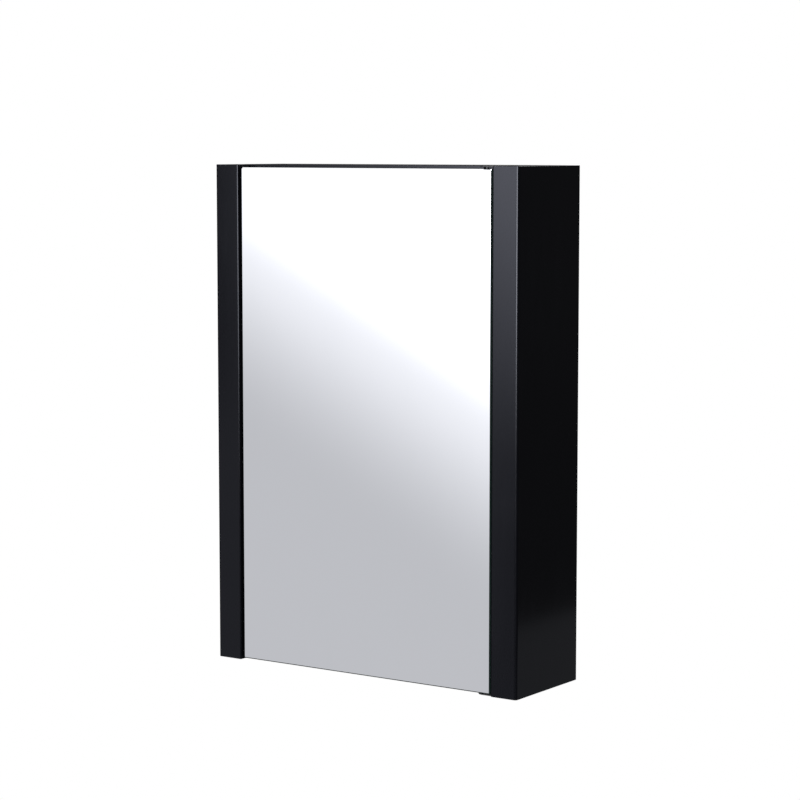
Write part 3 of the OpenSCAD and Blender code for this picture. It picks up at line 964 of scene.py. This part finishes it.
# %% [markdown]
# ## Setting out equal parts
#
# Screws and shelf pins are made once and set out many times. A tree takes the places as loose
# points that carry a turn, puts the part on each, realizes the copies and sets the finish.
# Copying objects in a loop would work too, but would leave one object for each screw.

# %% Setting-out tree


def make_set_out_tree():
    tree, ins, sockets = geometry_tree("set out parts", [
        ("Places", "Geometry", None), ("Part", "Object", None), ("Size", "Float", 1.0),
        ("Finish", "Material", None)])
    part = add(tree, "GeometryNodeObjectInfo", {"Object": ins["Part"]})
    turn = add(tree, "GeometryNodeInputNamedAttribute", {"Name": "turn"},
               data_type="FLOAT_VECTOR")
    copies = add(tree, "GeometryNodeInstanceOnPoints", {
        "Points": ins["Places"], "Instance": part.outputs["Geometry"],
        "Rotation": turn.outputs[0], "Scale": ins["Size"]})
    end_tree(tree, copies.outputs[0], ins["Finish"])
    return tree, sockets


SET_OUT_TREE, SET_OUT_SOCKETS = make_set_out_tree()


def set_out(name, part, places, material, size=1.0):
    """Copies of a part at (place, turn) pairs, as one plain mesh. The part is removed."""
    points = bpy.data.meshes.new(name + "_places")
    points.from_pydata([place for place, _ in places], [], [])
    turns = points.attributes.new("turn", "FLOAT_VECTOR", "POINT")
    turns.data.foreach_set("vector", [value for _, turn in places for value in turn])
    values = {"Part": part, "Size": size, "Finish": material}
    obj = run_tree(name, SET_OUT_TREE, SET_OUT_SOCKETS, values, source=points)
    bpy.data.objects.remove(part)
    return obj


print("made the tree", SET_OUT_TREE.name)

# %% [markdown]
# ## Screws
#
# All the screws are 3 mm countersunk with a cross recess. The thread is a helix that is seldom
# seen, so it is a row of shallow rings on the turned profile. The recess is cut with a Boolean,
# because a painted cross would not catch the light.

# %% One screw
SHANK_RADIUS = 1.5 * MM
HEAD_RADIUS = 3.0 * MM
HEAD_DEPTH = 1.5 * MM
THREAD_START = 2.6 * MM
THREAD_PITCH = 1.0 * MM
THREAD_ROOT = 0.72 * SHANK_RADIUS
POINT_LENGTH = 2.4 * MM
CROSS_SPAN, CROSS_WIDTH, CROSS_DEPTH = 3.6 * MM, 0.7 * MM, 2.6 * MM
CROSS_TAPER = 0.45       # an arm's length at the bottom of the recess, as a share of the top's


def screw_profile(length):
    """Half the section of a countersunk screw, head at 0 and point at -length."""
    points = [(0, 0), (HEAD_RADIUS - 0.15 * MM, 0), (HEAD_RADIUS, -0.12 * MM),
              (SHANK_RADIUS, -HEAD_DEPTH)]
    height = -THREAD_START
    while height > POINT_LENGTH - length:
        points += [(THREAD_ROOT, height), (SHANK_RADIUS, height - 0.45 * THREAD_PITCH)]
        height -= THREAD_PITCH
    return points + [(0.7 * SHANK_RADIUS, height), (0, -length)]


def recess_cutter():
    """A cross that tapers towards its bottom."""
    bm = bmesh.new()
    for turn in (0, math.pi / 2):
        arm = bmesh.ops.create_cube(bm, size=1.0)["verts"]
        for vert in arm:
            narrow = CROSS_TAPER if vert.co.z < 0 else 1.0
            vert.co = Vector((vert.co.x * CROSS_SPAN * narrow, vert.co.y * CROSS_WIDTH,
                              vert.co.z * CROSS_DEPTH))
        bmesh.ops.rotate(bm, verts=arm, cent=(0, 0, 0), matrix=Matrix.Rotation(turn, 3, "Z"))
    return new_object("recess", bm)


def make_screw(length):
    screw = turned("screw", screw_profile(length), Vector(), steps=32)
    return cut_away(screw, recess_cutter(), self_crossing=True)


print("a screw's head is", 2 * HEAD_RADIUS / MM, "mm wide")

# %% All the screws
HEAD_TURN = {("x", True): (0, math.pi / 2, 0), ("y", True): (-math.pi / 2, 0, 0),
             ("z", True): (0, 0, 0), ("z", False): (math.pi, 0, 0)}


def set_screws(node, length_axis, heads_high):
    """Puts screws where a node's shells are. heads_high(low) says if the head is at the high end."""
    places = []
    axis = "xyz".index(length_axis)
    for low, high in shells(node):
        at_high_end = heads_high(low)
        place = (low + high) / 2
        place[axis] = high[axis] if at_high_end else low[axis]
        places.append((place, HEAD_TURN[length_axis, at_high_end]))
    length = high[axis] - low[axis]      # the same for every screw of a node
    material = MATERIALS[SLOT[node]]
    piece = set_out(node + "_set", make_screw(length), places, material)
    piece.data.set_sharp_from_angle(angle=math.radians(35))
    return stands_for(piece, node)


MID_HEIGHT = (CABINET[0].z + CABINET[1].z) / 2
set_screws("pivot_plate_screws", "z", lambda low: low.z > MID_HEIGHT)
set_screws("latch_housing_screws", "z", lambda low: True)
set_screws("strike_plate_screws", "y", lambda low: True)
set_screws("pivot_block_screws", "x", lambda low: True)
print("four sets of screws")

# %% [markdown]
# ## Shelf pins and their sleeves
#
# A shelf pin is a turned peg with a collar and a flat tongue, and a silicone sleeve on the tongue
# grips the glass. One pin is joined from its two forms and set out at every place, turned round
# for the left side.

# %% Pins
PEG_RADIUS = 2.45 * MM
PEG_CHAMFER = 0.6 * MM
COLLAR_THICK = 1.2 * MM
COLLAR_EDGE = 0.3 * MM
TONGUE = Vector((7.8 * MM, 5 * MM, 3 * MM))
TONGUE_EDGE = 0.4 * MM


def one_pin(pin):
    """The right-hand pin, with its collar's back at the origin."""
    low, high = pin
    collar = (high.y - low.y) / 2
    length = high.x - SIDE[0].x
    profile = [(0, -COLLAR_THICK), (collar - COLLAR_EDGE, -COLLAR_THICK),
               (collar, COLLAR_EDGE - COLLAR_THICK), (collar, 0), (PEG_RADIUS, 0),
               (PEG_RADIUS, length - PEG_CHAMFER), (PEG_RADIUS - PEG_CHAMFER, length), (0, length)]
    peg = turned("peg", profile, Vector(), "x")
    tongue = box_object("tongue", TONGUE, (-COLLAR_THICK - TONGUE.x / 2, 0, 0))
    return joined("pin", [peg, rounded(tongue, TONGUE_EDGE)])


def both_sides(node_pins):
    """A place and a turn for each pin, at the inner face of its side."""
    places = []
    for pin in node_pins:
        centre = middle(pin)
        right = centre.x > 0
        spot = Vector((SIDE[0].x if right else -SIDE[0].x, centre.y, centre.z))
        places.append((spot, (0, 0, 0 if right else math.pi)))
    return places


right_pin = max(PINS, key=lambda pin: pin[1].x)
pins = set_out("shelf_pin_set", one_pin(right_pin), both_sides(PINS), NICKEL)
pins.data.set_sharp_from_angle(angle=math.radians(40))
stands_for(pins, "shelf_pins")
print(len(PINS), "shelf pins")

# %% Sleeves
SLEEVE_TIP = 0.8 * MM
SLEEVE_EDGE = 0.5 * MM


def one_sleeve(sleeve):
    """A soft tube with a closed tip, with its place measured from the side's inner face."""
    size = sleeve[1] - sleeve[0]
    centre = Vector((middle(sleeve).x - SIDE[0].x, 0, 0))
    body = rounded(box_object("sleeve", size, centre), SLEEVE_EDGE)
    hollow = box_object("hollow", (size.x, TONGUE.y, TONGUE.z), centre + Vector((SLEEVE_TIP, 0, 0)))
    return cut_away(body, hollow)


SLEEVES = shells("shelf_pin_sleeves")
right_sleeve = max(SLEEVES, key=lambda sleeve: sleeve[1].x)
sleeves = set_out("sleeve_set", one_sleeve(right_sleeve), both_sides(SLEEVES), SILICONE)
sleeves.data.set_sharp_from_angle(angle=math.radians(40))
stands_for(sleeves, "shelf_pin_sleeves")
print(len(SLEEVES), "sleeves")

# %% [markdown]
# ## Coil springs
#
# A compression spring is wire wound on a helix. Geometry Nodes have a spiral curve, and sweeping
# a small circle along it gives the wire. When its joint moves, the real spring gets shorter; here
# each one only gets a mesh of its own and keeps its length.

# %% Spring tree


def make_spring_tree():
    tree, ins, sockets = geometry_tree("coil spring", [
        ("Coil radius", "Float", 3 * MM), ("Wire radius", "Float", 0.4 * MM),
        ("Length", "Float", 14 * MM), ("Turns", "Float", 6.0), ("Finish", "Material", None)])
    helix = add(tree, "GeometryNodeCurveSpiral", {
        "Resolution": 28, "Rotations": ins["Turns"], "Start Radius": ins["Coil radius"],
        "End Radius": ins["Coil radius"], "Height": ins["Length"]})
    wire_section = add(tree, "GeometryNodeCurvePrimitiveCircle", {
        "Resolution": 10, "Radius": ins["Wire radius"]})
    swept = add(tree, "GeometryNodeCurveToMesh", {"Curve": helix.outputs[0],
                                                  "Profile Curve": wire_section.outputs[0],
                                                  "Fill Caps": True})
    end_tree(tree, swept.outputs[0], ins["Finish"])
    return tree, sockets


SPRING_TREE, SPRING_SOCKETS = make_spring_tree()


def coil(node, axis, wire_radius, turns):
    """A spring that fills a node's box along one axis."""
    low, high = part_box(node)
    index = "xyz".index(axis)
    across = [high[other] - low[other] for other in range(3) if other != index]
    base = (low + high) / 2
    base[index] = low[index] + wire_radius
    values = {"Coil radius": max(across) / 2 - wire_radius, "Wire radius": wire_radius,
              "Length": high[index] - low[index] - 2 * wire_radius, "Turns": float(turns),
              "Finish": BRIGHT_STEEL}
    spring = run_tree(node + "_coil", SPRING_TREE, SPRING_SOCKETS, values)
    place = Matrix.Translation(base) @ AXIS_TURN[axis].to_matrix().to_4x4()
    spring.data.transform(place)
    return stands_for(spring, node)


LATCH_COIL = coil("latch_spring", "y", wire_radius=0.4 * MM, turns=6)
PIN_COIL = coil("top_pivot_spring", "z", wire_radius=0.3 * MM, turns=8)
print("springs", len(LATCH_COIL.data.polygons), len(PIN_COIL.data.polygons), "faces")

# %% Each spring gets a mesh of its own


def shortened(spring, node, axis, fixed_high):
    """Works out where a spring's fixed end is, which nothing then uses, and gives the spring a mesh
    of its own.
    """
    low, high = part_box(node)
    index = "xyz".index(axis)
    anchor = (low + high) / 2
    anchor[index] = high[index] if fixed_high else low[index]
    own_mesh(spring)


shortened(LATCH_COIL, "latch_spring", "y", fixed_high=True)
shortened(PIN_COIL, "top_pivot_spring", "z", fixed_high=False)

# %% [markdown]
# ## Hardware with its own shape
#
# Pivot plates, blocks, the latch and its strike plate already have their true shape in the frame.
# They only need broken edges, from 0.15 mm on stamped steel to 0.5 mm on moulded parts.

# %% Softened hardware
for node, width in (("bottom_pivot_plate", 0.2), ("top_pivot_plate", 0.2), ("strike_plate", 0.15),
                    ("lower_pivot_block", 0.4), ("upper_pivot_block", 0.4),
                    ("latch_housing", 0.5), ("cam_caps", 0.2), ("door_edge_band", 0.25),
                    ("mirror_tape", 0.2)):
    piece = soften(node, width * MM, segments=2)
    print(node, len(piece.data.polygons), "faces")

# %% [markdown]
# ## Pins, washer, plunger and knob
#
# These are all turned. Their lengths and radii come from their boxes, and a small chamfer or
# crown at the working end catches the light as the real ones do.

# %% Turned hardware


def round_size(node, axis):
    """A round node's radius, its length along an axis, and the middle of its low end."""
    low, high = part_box(node)
    index = "xyz".index(axis)
    start = (low + high) / 2
    start[index] = low[index]
    return (high.x - low.x) / 2, high[index] - low[index], start


def pin_profile(radius, length, chamfer):
    """A plain pin with a chamfer at both ends."""
    return [(0, 0), (radius - chamfer / 2, 0), (radius, chamfer / 2), (radius, length - chamfer),
            (radius - chamfer, length), (0, length)]


def upright_pin(node, name):
    radius, length, foot = round_size(node, "z")
    return stands_for(turned(name, pin_profile(radius, length, 0.8 * MM), foot), node)


upright_pin("bottom_pivot_pin", "riveted_pin")
upright_pin("top_pivot_pin", "sprung_pin")


def washer():
    outer, thick, foot = round_size("pivot_washer", "z")
    inner, break_edge = 2.05 * MM, 0.1 * MM
    profile = [(inner, 0), (outer - break_edge, 0), (outer, break_edge),
               (outer, thick - break_edge), (outer - break_edge, thick), (inner, thick), (inner, 0)]
    return stands_for(turned("thrust_washer", profile, foot), "pivot_washer")


washer()
print("pins and washer turned")

# %% Plunger, magnet and knob


def plunger():
    radius, length, front = round_size("latch_plunger", "y")
    cup_r, cup_depth = 3.0 * MM, 4.0 * MM
    front_edge, rear_edge, play = 0.4 * MM, 0.3 * MM, 0.1 * MM
    profile = [(0, cup_depth), (cup_r, cup_depth), (cup_r, 0), (radius - front_edge, 0),
               (radius, front_edge), (radius, length - rear_edge), (radius - rear_edge, length),
               (0, length)]
    stands_for(turned("plunger_rod", profile, front, "y"), "latch_plunger")
    disc = [(0, play), (cup_r - 0.5 * MM, play), (cup_r - play, 0.4 * MM),
            (cup_r - play, cup_depth), (0, cup_depth)]
    stands_for(turned("magnet_disc", disc, front, "y"), "latch_magnet")


def knob():
    head_r, length, start = round_size("pivot_pin_knob", "y")
    stem_r, head, back_edge = 1.5 * MM, 2.4 * MM, 0.3 * MM
    crown, dish = 0.9 * MM, 0.35 * MM
    profile = [(0, 0), (stem_r, 0), (stem_r, length - head), (head_r - back_edge, length - head),
               (head_r, length - head + back_edge), (head_r, length - crown),
               (head_r - 0.25 * MM, length - 0.4 * MM), (head_r - crown, length),
               (head_r - 1.4 * MM, length), (head_r - 1.8 * MM, length - dish),
               (0, length - dish)]
    stands_for(turned("finger_knob", profile, start, "y"), "pivot_pin_knob")


plunger()
knob()
print("plunger, magnet and knob turned")

# %% [markdown]
# ## What stays as it is
#
# Dowels, biscuits, cams and their bolts sit inside the boards. Their frame meshes are right, so
# they keep them and only get their finish.

# %% Finishes on the hidden nodes
for node in ("mitre_biscuits", "hanging_rail_dowels", "panel_dowels", "cam_locks", "cam_bolts"):
    for slot in frame["nodes"][node].material_slots:
        slot.material = MATERIALS[SLOT[node]]
    print(node, "keeps its shape")

# %% [markdown]
# ## Camera
#
# A long lens, level with the top edge and tilted down a little, keeps the upright edges nearly
# parallel. A wider lens from nearer would take in the whole cabinet too, but it would splay.

# %% Camera
CAMERA_PLACE = Vector((1.924, -2.768, 0.727))
CAMERA_AZIMUTH = math.radians(34.65)
CAMERA_TILT = math.radians(5.94)
LENS = 110.3

lens = bpy.data.cameras.new("product lens")
lens.lens = LENS
lens.sensor_width = 36
camera = bpy.data.objects.new("camera", lens)
camera.location = CAMERA_PLACE
camera.rotation_euler = (math.pi / 2 - CAMERA_TILT, 0, CAMERA_AZIMUTH)
bpy.context.scene.collection.objects.link(camera)
bpy.context.scene.camera = camera
bpy.context.scene.view_settings.view_transform = "Standard"
print("camera at", tuple(camera.location))

# %% [markdown]
# ## The wall of light that the mirror sees
#
# A mirror shows the studio, not itself. In front and to the left stands a tall scrim that is lit
# from behind at one corner, so its light falls off along a slanting line. The brightness is drawn
# on the scrim as a ramp across that line. Where a point of the scrim shows up in the mirror
# follows from similar triangles, so the ramp is set out on the mirror and projected back.

# %% Scrim


def stage_sheet(name, corners, material):
    """A flat sheet that isn't part of the object."""
    mesh = bpy.data.meshes.new(name)
    mesh.from_pydata(corners, [], [tuple(range(len(corners)))])
    mesh.materials.append(material)
    sheet = bpy.data.objects.new(name, mesh)
    bpy.context.scene.collection.objects.link(sheet)
    return sheet


def glow(name, strength=1.0, colour=(1, 1, 1, 1)):
    """A material that only gives out light, and its nodes."""
    material = bpy.data.materials.new(name)
    material.use_nodes = True
    tree = material.node_tree
    tree.nodes.clear()
    lamp = add(tree, "ShaderNodeEmission", {"Color": colour, "Strength": strength})
    out = add(tree, "ShaderNodeOutputMaterial", {"Surface": lamp.outputs[0]})
    return material, tree, lamp, out


def fade_out(tree, solid, lamp, out):
    """Lets a lit sheet turn clear where solid falls to 0, so that a mirror shows no hard edge."""
    clear = add(tree, "ShaderNodeBsdfTransparent")
    faded = add(tree, "ShaderNodeMixShader", {0: solid, 1: clear.outputs[0], 2: lamp.outputs[0]})
    tree.links.new(faded.outputs[0], out.inputs["Surface"])


SCRIM_Y = -3.2
MIRROR_Y = MIRROR[0].y
IMAGE_EYE = Vector((CAMERA_PLACE.x, 2 * MIRROR_Y - CAMERA_PLACE.y, CAMERA_PLACE.z))
SHARE = (IMAGE_EYE.y - MIRROR_Y) / (IMAGE_EYE.y - SCRIM_Y)
# How the light falls off: the slant of its lines, and each place across them, in metres on the
# mirror, with the brightness there.
FALL_SLOPE = 0.53
FALL = [(0.20, 0.575), (0.26, 0.58), (0.32, 0.66), (0.38, 0.79), (0.44, 0.95), (0.50, 1.06),
        (0.60, 1.8), (0.72, 3.6), (0.84, 5.6)]
# Beside the mirror the scrim is shaded, so that the rails stay dark: where x starts and ends,
# where z starts and ends, and how bright the shaded part is.
SHADES = [(0.206, 0.226, 0.48, 0.26, 0.30), (-0.206, -0.226, 0.30, 0.46, 0.05)]
# Towards the left the light grows no further than a limit, which is gone where x is high enough.
LEFT_LIMIT = 1.16
LIMIT_LIFTS = (-0.06, 0.25)
# The rims of the scrim, also as places on the mirror: where it ends, and where it is solid.
RIM_LEFT, RIM_RIGHT = (-0.9, -0.5), (0.8, 0.4)
RIM_LOW, RIM_HIGH = (-0.7, -0.3), (1.7, 0.9)
print("the scrim appears at", round(SHARE, 3), "of its size in the mirror")


def on_scrim(mirror_x, mirror_z):
    """The point of the scrim that shows at a point of the mirror."""
    return (IMAGE_EYE.x + (mirror_x - IMAGE_EYE.x) / SHARE, SCRIM_Y,
            IMAGE_EYE.z + (mirror_z - IMAGE_EYE.z) / SHARE)


def make_scrim():
    material, tree, lamp, out = glow("lit scrim", colour=(0.955, 0.957, 1.0, 1))
    split = add(tree, "ShaderNodeSeparateXYZ", {0: object_place(tree)}).outputs
    x = add(tree, "ShaderNodeMath", {0: split["X"], 1: SHARE, 2: IMAGE_EYE.x * (1 - SHARE)},
            operation="MULTIPLY_ADD").outputs[0]
    z = add(tree, "ShaderNodeMath", {0: split["Z"], 1: SHARE, 2: IMAGE_EYE.z * (1 - SHARE)},
            operation="MULTIPLY_ADD").outputs[0]
    along = add(tree, "ShaderNodeMath", {0: x, 1: FALL_SLOPE, 2: z},
                operation="MULTIPLY_ADD").outputs[0]
    start, end = FALL[0][0], FALL[-1][0]
    steps = add(tree, "ShaderNodeMapRange", {"Value": along, "From Min": start,
                                             "From Max": end}).outputs[0]
    ramp = add(tree, "ShaderNodeValToRGB", {0: steps})
    ramp.color_ramp.interpolation = "B_SPLINE"
    bar = ramp.color_ramp.elements
    while len(bar) < len(FALL):
        bar.new(0.5)
    for element, (place, level) in zip(bar, FALL):
        element.position = (place - start) / (end - start)
        element.color = [level / FALL[-1][1]] * 3 + [1]
    full = math_node(tree, "MULTIPLY", ramp.outputs[0], FALL[-1][1])
    most = rescale(tree, x, *LIMIT_LIFTS, LEFT_LIMIT, FALL[-1][1])
    level = math_node(tree, "MINIMUM", full, most)
    for x_from, x_to, z_from, z_to, shade in SHADES:
        share = math_node(tree, "MULTIPLY", rescale(tree, x, x_from, x_to),
                          rescale(tree, z, z_from, z_to))
        level = add(tree, "ShaderNodeMix", {0: share, 2: level, 3: shade}).outputs[0]
    tree.links.new(level, lamp.inputs["Strength"])
    solid = 1.0
    for value, rim in ((x, RIM_LEFT), (x, RIM_RIGHT), (z, RIM_LOW), (z, RIM_HIGH)):
        solid = math_node(tree, "MULTIPLY", rescale(tree, value, *rim), solid)
    fade_out(tree, solid, lamp, out)
    left, right, low, high = (rim[0] for rim in (RIM_LEFT, RIM_RIGHT, RIM_LOW, RIM_HIGH))
    corners = [on_scrim(*spot) for spot in ((left, low), (right, low), (right, high), (left, high))]
    stage_sheet("scrim", corners, material).visible_camera = False


make_scrim()

# %% [markdown]
# ## Floor, backdrop and soft lights
#
# The floor and the backdrop are plain white paper. The camera sees them evenly lit, and for every
# other ray they are only a dim fill, so the black sides stay deep. A lit card in front draws the
# upright edges, one near the ceiling shows in the mirror's upper cut, and a small one at the foot
# brightens the bottom of the side. Two soft boxes above light the top and the open inside.

# %% Floor and backdrop
FLOOR_Z = -1.1


def make_floor():
    """White to the camera; to other rays a pool of light that fades away from the cabinet."""
    material, tree, pool, out = glow("white paper")
    place = object_place(tree)
    away = add(tree, "ShaderNodeVectorMath", {0: place}, operation="LENGTH").outputs["Value"]
    front = rescale(tree, add(tree, "ShaderNodeSeparateXYZ", {0: place}).outputs["Y"],
                    -1.0, -9.0, 0.05, 0.22)
    near = rescale(tree, away, 5.2, 2.6, 0.0, 0.25)
    tree.links.new(math_node(tree, "ADD", near, front), pool.inputs["Strength"])
    white = add(tree, "ShaderNodeEmission", {"Strength": 1.0})
    seen = add(tree, "ShaderNodeLightPath").outputs["Is Camera Ray"]
    both = add(tree, "ShaderNodeMixShader", {0: seen, 1: pool.outputs[0], 2: white.outputs[0]})
    tree.links.new(both.outputs[0], out.inputs["Surface"])
    reach = 14.0
    stage_sheet("floor", [(-reach, -reach, FLOOR_Z), (reach, -reach, FLOOR_Z),
                          (reach, reach, FLOOR_Z), (-reach, reach, FLOOR_Z)], material)


def make_backdrop():
    world = bpy.data.worlds.new("white studio")
    world.use_nodes = True
    tree = world.node_tree
    tree.nodes.clear()
    direction = add(tree, "ShaderNodeSeparateXYZ",
                    {0: add(tree, "ShaderNodeTexCoord").outputs["Generated"]}).outputs
    front = rescale(tree, direction["Y"], -0.1, -0.9, 0.06, 0.22)
    ceiling = rescale(tree, direction["Z"], 0.25, 0.9, 0.0, 0.40)
    fill = add(tree, "ShaderNodeBackground", {"Strength": math_node(tree, "ADD", front, ceiling)})
    white = add(tree, "ShaderNodeBackground", {"Strength": 1.0})
    for node in (fill, white):
        node.inputs["Color"].default_value = (1, 1, 1, 1)
    seen = add(tree, "ShaderNodeLightPath").outputs["Is Camera Ray"]
    both = add(tree, "ShaderNodeMixShader", {0: seen, 1: fill.outputs[0], 2: white.outputs[0]})
    add(tree, "ShaderNodeOutputWorld", {"Surface": both.outputs[0]})
    bpy.context.scene.world = world


make_floor()
make_backdrop()
print("floor at", FLOOR_Z, "m")

# %% Soft boxes and cards


def aimed(obj, place):
    """Puts a stage object somewhere, turned towards the middle of the cabinet."""
    obj.location = place
    aim = Vector((0, 0, MID_HEIGHT)) - Vector(place)
    obj.rotation_euler = aim.to_track_quat("-Z", "Y").to_euler()
    obj.visible_camera = False


def soft_box(name, place, size, watts):
    """A square lamp that points at the middle of the cabinet."""
    lamp = bpy.data.lights.new(name, "AREA")
    lamp.shape = "RECTANGLE"
    lamp.size, lamp.size_y = size
    lamp.energy = watts
    box = bpy.data.objects.new(name, lamp)
    aimed(box, place)
    bpy.context.scene.collection.objects.link(box)


def soft_card(name, place, size, peak):
    """A lit card that fades out at its rim."""
    material, tree, lamp, out = glow(name, strength=peak)
    split = add(tree, "ShaderNodeSeparateXYZ", {0: object_place(tree)}).outputs
    solid = 1.0
    for label, half in (("X", size[0] / 2), ("Y", size[1] / 2)):
        off = math_node(tree, "ABSOLUTE", split[label])
        solid = math_node(tree, "MULTIPLY", rescale(tree, off, half, half * 0.35), solid)
    fade_out(tree, solid, lamp, out)
    x, y = size[0] / 2, size[1] / 2
    card = stage_sheet(name, [(-x, -y, 0), (x, -y, 0), (x, y, 0), (-x, y, 0)], material)
    aimed(card, place)


soft_card("front card", (1.05, -3.25, 0.72), (3.0, 1.7), 15.0)
soft_card("ceiling card", (-1.55, -0.35, 2.9), (2.0, 1.4), 1.1)
soft_box("top box", (0.5, -0.5, 2.9), (1.4, 1.2), 32)
soft_box("rear box", (-0.6, 2.4, 2.6), (1.4, 1.4), 40)


def make_foot_card():
    """A small lit card beside the cabinet's foot, which brightens the bottom of the side."""
    material, _, _, _ = glow("foot card", strength=0.21, colour=(0.93, 0.95, 1.0, 1))
    near, far = CABINET[1].x + 0.01, CABINET[1].x + 0.29
    front, rear, level = -0.05, 0.60, -0.01
    corners = [(near, front, level), (far, front, level), (far, rear, level), (near, rear, level)]
    stage_sheet("foot card", corners, material).visible_camera = False


make_foot_card()
print("three cards and two soft boxes")
